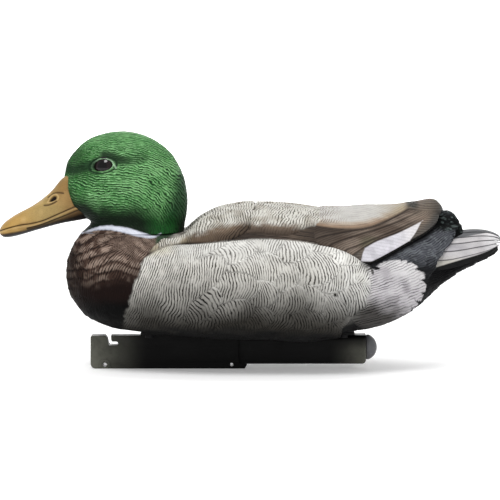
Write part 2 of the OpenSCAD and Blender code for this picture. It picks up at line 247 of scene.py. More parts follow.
def new_object(name, mesh, material, body, slot, *nodes):
    """Puts a mesh in the scene on its CAD body, in place of the CAD nodes it stands for."""
    piece = bpy.data.objects.new(name, mesh)
    bpy.context.scene.collection.objects.link(piece)
    mesh.materials.append(material)
    if nodes:
        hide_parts(*nodes)
    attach(piece, body)
    return piece


def paint(mesh, **fields):
    """Stores colours (rows of 3) and numbers on the mesh's points."""
    for name, values in fields.items():
        values = np.asarray(values, float)
        if values.shape[-1] == 3:
            flat = np.concatenate([values.reshape(-1, 3), np.ones((values.size // 3, 1))], axis=1)
            mesh.attributes.new(name, "FLOAT_COLOR", "POINT").data.foreach_set(
                "color", np.clip(flat, 0, 1).astype(np.float32).ravel())
        else:
            mesh.attributes.new(name, "FLOAT", "POINT").data.foreach_set(
                "value", values.astype(np.float32).ravel())


# ---- Materials -------------------------------------------------------------------------------


class Nodes:
    """Short way to write a material's node tree."""

    def __init__(self, name):
        self.material = bpy.data.materials.new(name)
        self.material.use_nodes = True
        self.tree = self.material.node_tree
        self.shader = self.tree.nodes["Principled BSDF"]

    def add(self, kind, inputs=None, **settings):
        node = self.tree.nodes.new("ShaderNode" + kind)
        for key, value in settings.items():
            setattr(node, key, value)
        for key, value in (inputs or {}).items():
            self.set(node.inputs[key], value)
        return node

    def set(self, socket, value):
        if isinstance(value, bpy.types.NodeSocket):
            self.tree.links.new(value, socket)
        else:
            socket.default_value = value

    def attribute(self, name, output="Color"):
        return self.add("Attribute", attribute_name=name).outputs[output]

    def math(self, operation, a, b=0.0, clamp=False):
        node = self.add("Math", operation=operation, use_clamp=clamp)
        self.set(node.inputs[0], a)
        self.set(node.inputs[1], b)
        return node.outputs[0]

    def smooth(self, value, low, high, to_low=0.0, to_high=1.0):
        node = self.add("MapRange", {"Value": value, "From Min": low, "From Max": high,
                                     "To Min": to_low, "To Max": to_high},
                        interpolation_type="SMOOTHSTEP")
        return node.outputs["Result"]

    def blend_colour(self, share, a, b, mode="MIX"):
        node = self.add("Mix", data_type="RGBA", blend_type=mode)
        sockets = [s for s in node.inputs if s.type == "RGBA"]
        self.set(node.inputs[0], share)
        self.set(sockets[0], a)
        self.set(sockets[1], b)
        return [s for s in node.outputs if s.type == "RGBA"][0]

    def grain(self, size, detail=3.0, roughness=0.55, stretch=(1, 1, 1)):
        place = self.add("TexCoord").outputs["Object"]
        scaled = self.add("Mapping", {"Vector": place, "Scale": stretch}).outputs[0]
        return self.add("TexNoise", {"Vector": scaled, "Scale": 1 / (size * MM), "Detail": detail,
                                     "Roughness": roughness}).outputs["Fac"]

    def bump(self, height, distance, strength):
        inputs = {"Height": height, "Distance": distance * MM, "Strength": strength}
        return self.add("Bump", inputs).outputs[0]

    def finish(self, **sockets):
        for name, value in sockets.items():
            self.set(self.shader.inputs[name.replace("_", " ")], value)
        return self.material


def rgba(colour):
    return (float(colour[0]), float(colour[1]), float(colour[2]), 1.0)


def painted_feathers(name, roughness=(0.6, 0.8), specular=0.05, line_width=0.55):
    """Hand-painted moulded feathers: ridge paint, darker wash in the carved lines, dry grain."""
    m = Nodes(name)
    phase = m.attribute("phase", "Fac")
    depth = m.attribute("depth", "Fac")
    fine = m.grain(0.7, 4.0)
    broad = m.grain(9.0, 3.0)
    wander = m.math("MULTIPLY", m.math("SUBTRACT", m.grain(2.2, 2.0), 0.5), 0.5)
    off = m.math("ABSOLUTE", m.math("SUBTRACT", m.math("FRACT", m.math("ADD", phase, wander)), 0.5))
    line = m.math("MULTIPLY", m.smooth(off, line_width * 0.5, line_width * 0.12), depth, clamp=True)
    colour = m.blend_colour(line, m.attribute("paint"), m.attribute("wash"))
    tone = m.math("ADD", m.math("MULTIPLY", fine, 0.5), m.math("MULTIPLY", broad, 0.5))
    shade = m.smooth(tone, 0.3, 0.7, 0.84, 1.12)
    colour = m.blend_colour(1.0, colour, m.add("CombineColor", {"Red": shade, "Green": shade,
                                                                "Blue": shade}).outputs[0], "MULTIPLY")
    height = m.math("SUBTRACT", m.math("MULTIPLY", fine, 0.25), line)
    rough = m.smooth(tone, 0.35, 0.7, roughness[0], roughness[1])
    return m.finish(Base_Color=colour, Roughness=rough, Normal=m.bump(height, 0.35, 0.7),
                    Specular_IOR_Level=specular)


def moulded_plastic(name, dark, light, roughness=(0.36, 0.55), grain=0.5, end_sheen=None, specular=0.5):
    """Moulded plastic with a fine texture and scuffs, and, where a colour is given for it, a painted
    reflection that lightens its two ends.
    """
    m = Nodes(name)
    fine = m.grain(grain, 3.0)
    cloud = m.grain(14.0, 4.0, 0.6)
    scuff = m.smooth(m.grain(3.0, 6.0, 0.75, (0.25, 1, 1)), 0.56, 0.72)
    share = m.math("ADD", m.math("MULTIPLY", cloud, 0.6), m.math("MULTIPLY", scuff, 0.5), clamp=True)
    colour = m.blend_colour(share, rgba(dark), rgba(light))
    # painted reflection: the front end and the lower rear end are lightened as if they caught the studio
    # lights
    if end_sheen is not None:
        place = m.add("SeparateXYZ", {"Vector": m.add("TexCoord").outputs["Object"]})
        front = m.smooth(place.outputs["X"], -0.085, -0.135)
        rear = m.math("MULTIPLY", m.smooth(place.outputs["X"], 0.066, 0.100, 0.0, 0.8),
                      m.smooth(place.outputs["Z"], 0.028, 0.014))
        ends = m.math("MULTIPLY", m.math("MAXIMUM", front, rear), m.smooth(cloud, 0.25, 0.6, 0.6, 1.0))
        colour = m.blend_colour(ends, colour, rgba(end_sheen))
    rough = m.smooth(m.math("ADD", m.math("MULTIPLY", fine, 0.4), m.math("MULTIPLY", cloud, 0.6)),
                     0.35, 0.65, roughness[0], roughness[1])
    return m.finish(Base_Color=colour, Roughness=rough, Normal=m.bump(fine, 0.12, 0.35),
                    Specular_IOR_Level=specular)


def bare_metal(name, colour, roughness=(0.25, 0.45), grain=0.6):
    """Metal with a fine drawn grain and dull patches."""
    m = Nodes(name)
    fine = m.grain(grain, 3.0, 0.6, (1, 1, 0.15))
    patch = m.grain(5.0, 3.0)
    tint = m.blend_colour(m.smooth(patch, 0.35, 0.7), rgba(colour * 0.8), rgba(colour))
    return m.finish(Base_Color=tint, Metallic=1.0, Normal=m.bump(fine, 0.05, 0.3),
                    Roughness=m.smooth(patch, 0.3, 0.7, roughness[0], roughness[1]))


def glass_eye():
    """Near-black iris under gloss, with a black pupil in the middle of the button."""
    m = Nodes("glass_eye")
    ring = m.attribute("ring", "Fac")
    flecks = m.grain(0.5, 4.0)
    iris = m.blend_colour(flecks, rgba(srgb(10, 6, 8)), rgba(srgb(30, 18, 20)))
    colour = m.blend_colour(m.smooth(ring, 0.52, 0.60), rgba(srgb(3, 2, 3)), iris)
    return m.finish(Base_Color=colour, Roughness=0.06, Specular_IOR_Level=0.3)


# ---- Spacing of the carved lines, in millimetres -------------------------------------------

FLANK_BARS = 2.12
BREAST_STRANDS = 2.05
HEAD_STROKES = 2.08
SCAPULAR_BARS = 2.2


# ---- Body ------------------------------------------------------------------------------------

# Sections of the body under the wings: x, belly z, z of the widest point, back z, half-width
BODY = [
    (-154.0, 81.3, 81.5, 81.8, 0.3), (-153.7, 78.0, 81.5, 85.5, 6.0), (-152.0, 67.0, 81.5, 95.0, 22.4),
    (-146.0, 55.5, 80.0, 107.5, 38.7), (-135.5, 44.5, 78.0, 118.5, 53.3),
    (-117.6, 36.4, 76.0, 121.0, 65.4), (-97.6, 33.0, 74.0, 121.0, 73.1),
    (-69.3, 30.4, 73.0, 116.5, 79.1), (-54.0, 29.2, 73.0, 116.0, 81.8),
    (-46.0, 28.7, 73.0, 120.5, 82.8), (-38.0, 28.2, 73.0, 126.0, 83.5),
    (-26.0, 27.7, 73.3, 131.6, 84.3), (-12.0, 27.3, 73.7, 134.6, 84.9), (3.0, 27.0, 74.0, 136.0, 85.0),
    (39.9, 27.4, 75.0, 134.8, 83.3), (57.0, 28.8, 76.3, 133.0, 80.9), (66.0, 29.9, 77.0, 131.4, 79.3),
    (79.8, 32.0, 78.0, 129.4, 76.6), (110.2, 37.9, 82.0, 128.4, 64.0), (135.5, 49.5, 87.5, 128.4, 48.8),
    (150.0, 61.5, 91.0, 127.6, 34.0), (159.0, 70.0, 92.0, 123.0, 28.5),
    (164.8, 74.6, 92.5, 117.5, 28.0), (171.0, 79.0, 94.0, 112.5, 28.5),
    (177.0, 83.0, 95.0, 110.0, 29.0), (184.0, 86.6, 96.5, 109.0, 29.5),
    (193.0, 91.2, 98.5, 107.0, 27.5), (201.6, 95.4, 100.5, 105.0, 22.0),
    (206.5, 98.6, 101.5, 104.2, 12.0), (207.4, 100.6, 101.6, 102.8, 3.0)]
# Height added along the back over the root of the tail, where the curled feathers sit
CURL = [
    (146, 0), (152, 1.5), (158, 7.0), (162, 12.0), (166, 16.0), (170, 17.5), (173.5, 15.0),
    (176.5, 10.5), (178.5, 6.0), (181, 2.0), (186, 0)]
BELLY_POWER = 0.78
BACK_POWER = 0.94
AXIS_X = -94.5                # swivel axis of the head
SEAM_Z = 115.5                # height of the seam between the head and the body
POCKET_R = 41.2               # seat for the head, behind the seam

FINE_X = 0.62                 # spacing of the body's rows
FINE_S = 1.15                 # spacing of its columns above the belly
BELLY_S = 4.0                 # and under it


def even_steps(rows, columns, spacing):
    """Fractional row indices spaced evenly along the longest of the given columns' paths."""
    t = np.linspace(0, len(rows) - 1, 4000)
    path = spline(rows, t)
    step = np.max([np.hypot(np.diff(path[:, 0]), np.diff(path[:, c])) for c in columns], axis=0)
    length = np.concatenate([[0], np.cumsum(step)])
    return np.interp(np.linspace(0, length[-1], int(length[-1] / spacing)), length, t)


def body_angles():
    """Ring angles from the back round the right side, under the belly and up the left side."""
    a = np.linspace(0, 180, 3000)
    power = np.where(a < 90, BACK_POWER, BELLY_POWER)
    c, s = np.cos(np.radians(a)), np.sin(np.radians(a))
    y = 86 * s ** power
    z = np.where(a < 90, 65.5, 45.5) * np.sign(c) * np.abs(c) ** power
    length = np.concatenate([[0], np.cumsum(np.hypot(np.diff(y), np.diff(z)))])
    side = np.interp(-32, z[::-1], length[::-1])
    marks = np.concatenate([np.arange(0, side, FINE_S), np.arange(side, length[-1] - BELLY_S / 2, BELLY_S)])
    half = np.interp(marks, length, a)
    return np.concatenate([half, [180], 360 - half[:0:-1]])


def body_grid():
    """Undecorated body points, rows from breast to tail."""
    rows = spline(BODY, even_steps(BODY, (1, 3, 4), FINE_X))
    a = np.radians(body_angles())[None, :]
    x, low, mid, high, half = (rows[:, k][:, None] for k in range(5))
    c, s = np.cos(a), np.sin(a)
    upper = c > 0
    power = np.where(upper, BACK_POWER, BELLY_POWER)
    z = mid + np.where(upper, high - mid, mid - low) * np.sign(c) * np.abs(c) ** power
    y = half * np.sign(s) * np.abs(s) ** power
    round_top = np.clip(1 - (y / 21.0) ** 2, 0, 1) ** 1.2
    z = z + np.where(upper, curve_at(x, CURL) * round_top, 0)
    return np.stack([x + 0 * a, y, z], axis=-1)


def over_line(g, line):
    """Height by which points lie above a line in the side view."""
    return g.high - curve_at(g.side, line)


class Surface:
    """The fields that the feathers are laid out on."""

    def __init__(self, points):
        self.points = points
        self.normal = grid_normals(points)
        self.x, self.y, self.z = (points[..., k] for k in range(3))
        near = SIDE_DISTANCE / (SIDE_DISTANCE - np.abs(self.y))
        up = (self.z - MIDDLE_Z) * math.cos(SIDE_TILT) - np.abs(self.y) * math.sin(SIDE_TILT)
        self.side = self.x * near             # x as it appears from the side
        self.high = MIDDLE_Z + up * near      # height as it appears from the side
        step = np.linalg.norm(np.roll(points, -1, axis=1) - points, axis=-1)
        columns = points.shape[1]
        half = (columns + 1) // 2
        right = np.concatenate([np.zeros((len(points), 1)), np.cumsum(step, axis=1)[:, :-1]], axis=1)
        left = np.cumsum(step[:, ::-1], axis=1)[:, ::-1]
        self.around = np.where(np.arange(columns)[None, :] < half, right, left)
        self.lift, self.phase, self.depth, self.carve = (np.zeros(self.x.shape) for _ in range(4))
        self.paint, self.wash = (np.zeros(self.x.shape + (3,)) for _ in range(2))

    def noise(self, size, seed=0, stretch=(1, 1, 1)):
        return noise(self.x / stretch[0], self.y / stretch[1], self.z / stretch[2], size, seed)

    def lay(self, share, **fields):
        """Blends fields in where share is near 1."""
        for name, value in fields.items():
            old = getattr(self, name)
            setattr(self, name, mix(old, np.asarray(value, float), share))

    def cut(self, share, phase, depth, carve):
        """Lays carved lines where share is over a half: their phase, wash and depth in millimetres."""
        chosen = share > 0.5
        self.phase = np.where(chosen, phase, self.phase)
        self.depth = np.where(chosen, depth, self.depth)
        self.carve = np.where(chosen, carve, self.carve)

    def shaped(self):
        """Points with the lift and the carved lines applied."""
        height = self.lift - self.carve * self.depth * groove(self.phase)
        return self.points + self.normal * height[..., None]

    def piece(self, name, *place, points=None):
        """The painted surface as a piece; place is its material, body, slot and CAD node, and the slot is
        not used.
        """
        mesh = grid_mesh(name, self.shaped() if points is None else points)
        paint(mesh, paint=self.paint, wash=self.wash, phase=self.phase, depth=self.depth)
        return new_object(name, mesh, *place)


# Colours of the plumage
WHITE_GREY = srgb(186, 184, 178)
FLANK_WASH = srgb(50, 46, 41)
BREAST_LIGHT = srgb(134, 117, 106)
BREAST_MID = srgb(66, 50, 43)
BREAST_DARK = srgb(18, 11, 9)
BACK_BROWN = srgb(104, 89, 75)
FEATHER_DARK = srgb(26, 22, 20)
TERTIAL_BROWN = srgb(114, 102, 92)
TIP_BROWN = srgb(100, 91, 82)
SLATE = srgb(84, 86, 92)
BLACK = srgb(7, 7, 8)
PATCH_WHITE = srgb(174, 171, 174)
BAR_WHITE = srgb(186, 184, 190)
RING_WHITE = srgb(200, 203, 214)
BELLY_GREY = srgb(14, 14, 14)

# Edges drawn in (x, height seen from the side)
BREAST_EDGE = [
    (25, -109), (45, -105), (66, -98.5), (78.5, -94), (89.5, -90), (98, -84), (105.4, -75.6),
    (114, -64), (122, -52)]
FLANK_TOP = [
    (-88, 93), (-78, 99.0), (-70, 102.0), (-58.8, 103.2), (-40.6, 104.3), (-22.4, 106.1), (-4.1, 107.8),
    (9.5, 108.5), (23.2, 107.9), (41.4, 106.4), (55.1, 104.0), (68.8, 101.6), (77.9, 98.9),
    (84.1, 96.1), (91, 92.0), (97, 86), (101.5, 78), (102, 68), (99, 57), (90, 45), (78, 34)]


def flank_gap(g):
    """Distance below and ahead of the flank's top and rear edge, in the side view."""
    top = spline(FLANK_TOP, np.linspace(0, len(FLANK_TOP) - 1, 120))
    loop = np.vstack([[(-150, -60), (-150, 60)], top, [(70, -60)]])
    return inside_by(g.side, g.high, loop)


def body_base(g):
    """Belly, rump and the parts that the feather groups lie on."""
    g.paint[:] = BELLY_GREY
    g.wash[:] = BLACK
    blotch = g.noise(16, 1) * 0.5 + g.noise(6, 2) * 0.3
    g.paint = mix(g.paint, BLACK, ramp(blotch, -0.2, 0.6) * 0.6)


def breast(g):
    """Mauve-brown breast with fine downy cuts in ragged rows, black underneath."""
    edge = curve_at(g.high, BREAST_EDGE)
    ragged = 1.3 * g.noise(5, 11) + 0.8 * g.noise(2.2, 12)
    share = ramp(g.side - edge + ragged, 1.8, -1.8)
    turn = np.arctan2(np.abs(g.y), -g.x - 82.5) * 62
    lean = ramp(g.side, -142, -98)
    hair = turn - lean * (edge + 94) + 1.1 * g.noise(9, 15) + 0.5 * g.noise(3.5, 16)
    strand = np.floor(hair / BREAST_STRANDS)
    down = 118 - g.high - 0.5 * lean * (turn - 96) + 2.2 * g.noise(16, 13) + 1.5 * hashed(strand, seed=14)
    row = np.floor(down / 7.6)
    within = down / 7.6 - row
    patch = hashed(row, np.floor((turn + 5 * hashed(row, seed=21)) / 8.0), seed=18)
    present = ramp(g.noise(8, 17) + 1.1 * (patch - 0.5), -0.25, 0.15) * mix(1.0, 0.45, lean)
    lip = ramp(np.abs(within - 0.88), 0.16, 0.05) * present
    light = ramp(g.noise(7, 19) + 0.7 * g.noise(2.6, 20), -0.6, 0.6)
    colour = mix(BREAST_MID, BREAST_LIGHT, light * ramp(within, 0.0, 0.35) * ramp(within, 0.95, 0.7))
    colour = mix(colour, BREAST_LIGHT, 0.4 * lean * ramp(g.high, 84, 96))
    # painted light: the breast is painted lighter towards its top and darker towards its bottom; its fade
    # to black underneath is partly its own colour and partly painted shade
    colour = mix(colour, BREAST_DARK, lip * 0.85) * mix(0.76, 1.2, ramp(g.high, 78, 104))[..., None]
    fade = ramp(g.high + 7 * g.noise(22, 22) - 0.2 * (g.side + 120), 92, 62)
    colour = tinted(
        colour,
        (20, 11, 9, fade),
        (2, 2, 2, ramp(g.high + 4 * g.noise(14, 23), 64, 50)))
    front = ramp(g.side, -134, -152) * 0.8
    colour = mix(colour, BREAST_DARK, front)
    g.lay(share, paint=colour, wash=mix(BREAST_DARK * 0.7, srgb(3, 3, 3), fade),
          lift=0.8 * within * (1 - lip) * present)
    strength = np.clip(0.95 + 0.9 * g.noise(3.0, 24, (1, 1, 2.5)), 0.1, 1)
    g.cut(share, hair / BREAST_STRANDS, strength * (1 - 0.8 * fade), 0.6)


def flank(g):
    """Off-white flank: big feathers with wavy bars, raised along its upper edge."""
    gap = flank_gap(g)
    edge = curve_at(g.high, BREAST_EDGE)
    ragged = 1.3 * g.noise(5, 11) + 0.8 * g.noise(2.2, 12)
    low_rear = ramp(g.side, 74, 92) * ramp(g.high, 92, 84)
    soft = mix(0.4, 5.0, low_rear)
    inside = ramp((gap + 2.5 * low_rear * g.noise(6, 42, (2.5, 1, 1))) / soft, -1, 1)
    inside = inside * ramp(g.side - edge + ragged, -1.2, 1.2)
    across = g.around + 0.05 * g.x + 3.5 * g.noise(30, 32)
    along = g.x + 0.24 * (g.around - 120) + 3.5 * g.noise(34, 31)
    tiles = Scales(along, across, 42, 24, 0.6, seed=33)
    off = across - tiles.middle
    run = tiles.t * 42
    laid = (along - run + 14 * (tiles.own - 0.5) > -62) & (g.high < 105 + 0.1 * g.side)
    wander = 2.2 * g.noise(20, 34) + 0.75 * g.noise(6.0, 35) + 0.35 * g.noise(2.8, 30)
    plain = (g.side - 0.8 * (edge + 94) * ramp(g.side, -30, -80) + 0.10 * (g.around - 110)
             + wander) / FLANK_BARS
    slope = 0.10 + 0.85 * (tiles.own - 0.35)
    feather = (run * np.cos(slope) - off * np.sin(slope) + 0.018 * off ** 2
               + wander) / FLANK_BARS + tiles.own * 9
    phase = np.where(laid, feather, plain)
    strength = np.clip(0.80 + 0.55 * g.noise(6, 37) + 0.5 * g.noise(2.0, 38), 0.1, 1)
    strength *= mix(1.0, 0.8, ramp(g.high, 84, 104))
    rim = ramp(tiles.edge, 1.15, 0.35) * laid * ramp(tiles.t, 0.40, 0.7)
    rim *= ramp(g.noise(15, 36) + 0.6 * (tiles.own - 0.4), -0.25, 0.1)
    strength = strength * (1 - 0.85 * rim)
    shelf = laid * tiles.t * ramp(tiles.edge, 0.0, 1.3) * mix(1.0, 0.4, ramp(gap, 6, 1))
    raised = ramp(g.side, -92, -62) * (1 - low_rear)
    pocket = 3.3 * ramp(gap, 0.0, 2.4) * (1 - 0.8 * ramp(gap, 26, 70)) * raised
    # painted light: the flank is painted lighter towards its top and towards its rear, where the light
    # falls stronger
    colour = mix(WHITE_GREY, srgb(195, 194, 190), ramp(g.high, 80, 102))
    colour = tinted(
        colour,
        (218, 217, 213, ramp(g.side, 40, 90) * 0.85),
        (176, 174, 168, ramp(g.noise(9, 39), -0.2, 0.8) * 0.5),
        (220, 219, 214, rim * 0.9),
        (170, 164, 154, ramp(gap, 2.5, 0) * 0.4 * ramp(g.high, 92, 96)),
        (196, 190, 172, ramp(g.side, -58, -74) * ramp(g.high, 90, 98) * 0.7))
    # darker towards the bottom: partly the paint's own fade into the black belly, partly painted shade on
    # the underside
    low = ramp(g.high + 5 * g.noise(20, 40) - 0.02 * (g.side + 85) + 8 * ramp(g.side, 60, 95), 90, 33)
    colour = mix(colour, srgb(44, 42, 38), low ** 1.05)
    black = ramp(g.high + 2.5 * g.noise(9, 41), 38, 29)
    colour = mix(colour, srgb(10, 10, 10), black)
    wash = mix(FLANK_WASH, srgb(76, 72, 66), ramp(g.high, 84, 104))
    wash = mix(wash, srgb(10, 9, 8), np.clip(1.6 * low, 0.1, 1))
    g.lay(inside, paint=colour, wash=wash, lift=pocket + shelf)
    g.cut(inside, phase, strength * (1 - 0.6 * black), 0.55)


# Half-width of the strip of mantle between the scapular masses, along the back
MANTLE_EDGE = [(-66, 40), (-52, 29), (-39, 18.5), (-20, 10.5), (-4, 7.5), (24, 4), (60, 2), (130, 1)]
SCAPULAR_FRONT = [
    (-84, 96), (-78, 98.3), (-72, 100.3), (-64.7, 102.1), (-52.1, 104.2), (-27.7, 104.9),
    (-13.4, 107.9), (-2.0, 114.7)]
SCAPULAR_REAR = [
    (-10, 111), (4.9, 113.0), (18.6, 111.6), (32.3, 111.2), (39.6, 113.0), (46.0, 116.4), (53.3, 118.5),
    (66, 118.4), (84, 116), (100, 118)]
# Where the pale upper scapulars turn brown
BROWN_LINE = [
    (-70, 100), (-58, 104.5), (-50, 108), (-40, 111), (-22, 116), (0, 119), (18, 118.6), (34, 117.4),
    (50, 117), (62, 118)]


def mantle(g):
    """Grey strip along the middle of the back."""
    share = ramp(g.z, 108, 112) * ramp(g.x, -70, -60) * ramp(g.x, 150, 140)
    phase = (g.y + 2.0 * g.noise(20, 52)) / 2.4
    tone = mix(srgb(150, 147, 140), srgb(100, 96, 90), ramp(g.noise(9, 53), -0.3, 0.7))
    g.lay(share, paint=tone, wash=srgb(44, 41, 38), lift=0.4)
    g.cut(share, phase, 0.55 + 0.3 * g.noise(6, 54), 0.4)


def scapular_lines(g, seed, pitch=SCAPULAR_BARS, slant=0.0):
    """Fine wavy bars across the scapular feathers."""
    bars = g.x + slant * g.around + 2.6 * g.noise(20, seed) + 0.9 * g.noise(6, seed + 1)
    return (bars + 0.35 * g.noise(2.6, seed + 2)) / pitch


def scapulars(g):
    """Pale barred feathers over the wing, brown along their lower edges."""
    inner = np.abs(g.y) - np.interp(g.x, *zip(*MANTLE_EDGE))
    outer_rear = over_line(g, SCAPULAR_REAR)
    outer_front = over_line(g, SCAPULAR_FRONT)
    shoulder = 1.5 * ramp(inner, 0, 5) * ramp(np.abs(g.y), 62, 30) * ramp(g.x, -66, -40) * ramp(g.x, 58, 20)
    fade = ramp(g.x, 92, 66)
    rear = np.minimum(np.minimum(inner, outer_rear), g.x + 22)
    share = ramp(rear, -0.3, 0.4) * (g.x < 98)
    tiles = Scales(g.x + 0.5 * g.around + 3 * g.noise(20, 67), g.around - 0.1 * g.x, 30, 15, 0.5, 68)
    pale = ramp(over_line(g, BROWN_LINE) + 1.8 * g.noise(6, 61) + 1.0 * g.noise(2.2, 60), -2.4, 3.2)
    light = mix(srgb(190, 188, 181), srgb(162, 158, 149), ramp(g.noise(8, 62), -0.2, 0.8))
    brown = mix(srgb(106, 92, 80), srgb(72, 62, 54), ramp(over_line(g, SCAPULAR_REAR), 7, 1))
    brown = mix(brown, srgb(118, 103, 88), ramp(g.noise(5, 69, (3, 1, 1)), 0.1, 0.7) * 0.5)
    smooth = ramp(g.x + 5 * g.noise(7, 78), 50, 84)
    colour = mix(mix(brown, light, pale), srgb(176, 173, 167), smooth * pale)
    wash = mix(srgb(44, 35, 30), srgb(70, 66, 58), pale)
    rim = ramp(rear, 1.3, 0.2) * ramp(g.x, 62, 46)
    lift = (0.6 + 1.9 * ramp(rear, 0.0, 2.6)) * fade + shoulder
    colour = mix(colour, srgb(38, 32, 28), rim * 0.7)
    tile_rim = ramp(tiles.edge, 0.8, 0.2) * (1 - smooth) * ramp(tiles.t, 0.4, 0.7)
    colour = mix(colour, srgb(212, 210, 202), tile_rim * pale * 0.6)
    g.lay(share, paint=colour, wash=wash, lift=lift + 0.4 * tiles.t * ramp(tiles.edge, 0, 1) * (1 - smooth))
    strength = np.clip(0.80 + 0.6 * g.noise(5, 63) + 0.3 * g.noise(2.2, 66), 0.1, 1) * (1 - smooth)
    strength *= mix(0.5, 1.0, pale)
    turned = scapular_lines(g, 64, slant=0.25) + tiles.own * 0.8
    g.cut(share, turned, strength, 0.4)

    # the front group lies over the rear one
    curl = 0.022 * np.clip(g.high - 119, -30, 8) ** 2 * np.sign(g.high - 119)
    end = 0.5 - g.side + curl + 3.5 * ramp(g.high, 122, 132)
    front = np.minimum(np.minimum(inner, outer_front), end)
    share = ramp(front, -0.3, 0.4) * ramp(g.x, -84, -78)
    brown = mix(BACK_BROWN, srgb(88, 75, 63), ramp(g.noise(7, 70, (3, 1, 1)), -0.3, 0.6))
    colour = mix(brown, light, pale)
    dark = ramp(over_line(g, SCAPULAR_FRONT), 9, 1.0) * ramp(g.x, -34, -14)
    colour = tinted(
        colour,
        (52, 44, 38, dark * 0.7),
        (158, 150, 130, ramp(g.side, -44, -64) * (1 - pale) * 0.8))
    rim = ramp(np.minimum(outer_front, end + 8 * pale), 1.5, 0.1)
    colour = mix(colour, srgb(26, 22, 20), rim * 0.85)
    lift = 0.8 + 2.4 * ramp(front, 0.0, 3.2) * mix(0.4, 1.0, ramp(inner, 0, 5)) + shoulder
    slope = 0.8 * ramp(g.high, 124, 114) * ramp(g.x, -50, -20)
    phase = scapular_lines(g, 74, 2.1) - slope * (g.high - 118) / 2.1
    g.lay(share, paint=colour, wash=mix(wash, srgb(20, 17, 15), dark), lift=lift)
    strength = np.clip(0.85 + 0.5 * g.noise(5, 73) + 0.3 * g.noise(2.2, 76), 0.1, 1)
    g.cut(share, phase, strength * mix(0.55 + 0.45 * dark, 1.0, pale), 0.45)


def coverts(g):
    """Dark brown wing feathers between the scapulars and the flank."""
    edge = -over_line(g, SCAPULAR_REAR)
    share = ramp(np.minimum(edge + 3, 84 - g.x), -0.3, 0.3) * (g.x > -25) * (g.high > 84)
    run = g.high + 0.13 * g.side
    within = (run / 3.4 + 0.4 * g.noise(40, 81)) % 1
    colour = mix(srgb(72, 62, 55), srgb(88, 77, 67), ramp(g.noise(6, 82, (4, 1, 1)), -0.4, 0.5))
    colour = mix(colour, FEATHER_DARK, ramp(np.minimum(within, 1 - within), 0.16, 0.04))
    colour = mix(colour, srgb(44, 38, 34), np.maximum(ramp(g.x, 30, 0), ramp(g.x, 30, 54)) * 0.75)
    g.lay(share, paint=colour, wash=FEATHER_DARK, lift=0.6 + 0.7 * within)
    g.cut(share, run / 1.13, 0.35 + 0.25 * g.noise(7, 84), 0.2)


RUMP_PATCH = [
    (80, 60), (84, 76), (95, 84), (104.5, 85.0), (110, 88.4), (116.3, 90.4), (124, 91.2), (131, 90.6),
    (137, 88.2), (142, 84.2), (145.8, 77.7), (147.6, 69.6), (145.4, 61.5), (141, 54.0), (132, 43.5),
    (118, 33), (104, 31), (88, 38)]
# Where the rump's feathers end over the roots of the tail
RUMP_END = [
    (148, 74), (150.5, 79), (152.5, 84), (155, 90), (160, 96.4), (166.5, 103), (168.5, 107.5),
    (170.5, 111.3), (173, 115), (177, 120)]


def rump(g):
    """Slate to black feathers under the wing tips and round the tail."""
    share = ramp(g.x, 84, 90)
    along = g.side + 0.35 * g.high + 2 * g.noise(14, 91)
    tiles = Scales(along, g.high - 0.45 * g.side + 2 * g.noise(12, 92), 15, 7.5, 0.6, seed=93)
    end_x = curve_at(g.high, [(v, x) for x, v in RUMP_END])
    over = end_x - g.side + 1.5 * g.noise(3.5, 97) + 0.8 * g.noise(1.6, 98)
    mound = ramp(g.side, 136, 151) * ramp(over, -1.8, 1.8) * ramp(g.high, 74, 84) * ramp(g.z, 122, 115)
    slate = ramp(g.high, 82, 96) * ramp(g.z, 120, 112)
    colour = mix(srgb(22, 23, 25), SLATE, slate * (0.5 + 0.5 * tiles.own))
    stroke = ramp(g.noise(2.0, 99, (2.5, 1, 1)), 0.15, 0.6)
    colour = tinted(
        colour,
        (104, 108, 112, stroke * slate * 0.55),
        (112, 116, 118, ramp(tiles.edge, 0.9, 0.2) * slate * 0.45))
    # painted shadow: the rump is painted black just below the wing's lower edge, where the wing tip
    # overhangs it
    under_wing = over_line(g, WING_EDGE)
    colour = mix(colour, BLACK, ramp(under_wing, -6.5, -1.5) * (g.side < 163) * (g.side > 100))
    rear = ramp(g.side - 0.9 * (82 - g.high), 142, 158) * ramp(g.high, 86, 78)
    black = np.maximum(np.maximum(rear, ramp(g.z, 66, 56)), ramp(over, 0.5, -1.5))
    colour = mix(colour, BLACK, black)
    crown = ramp(g.z, 112, 118) * ramp(g.x, 150, 158)
    fleck = ramp(g.noise(1.7, 94, (1.6, 1, 1)), 0.3, 0.65)
    colour = mix(colour, mix(srgb(12, 14, 14), srgb(78, 88, 86), fleck * 0.8), crown)
    colour = mix(colour, srgb(58, 62, 64), crown * ramp(g.z, 128, 132) * 0.7)
    phase = (g.high - 0.5 * g.side) / 2.0 + 0.5 * g.noise(6, 95)
    g.lay(share, paint=colour, wash=BLACK, lift=0.8 * tiles.t * ramp(tiles.edge, 0, 1.2) + 5.6 * mound)
    g.cut(share, phase, 0.55 + 0.4 * g.noise(4, 96), 0.35)


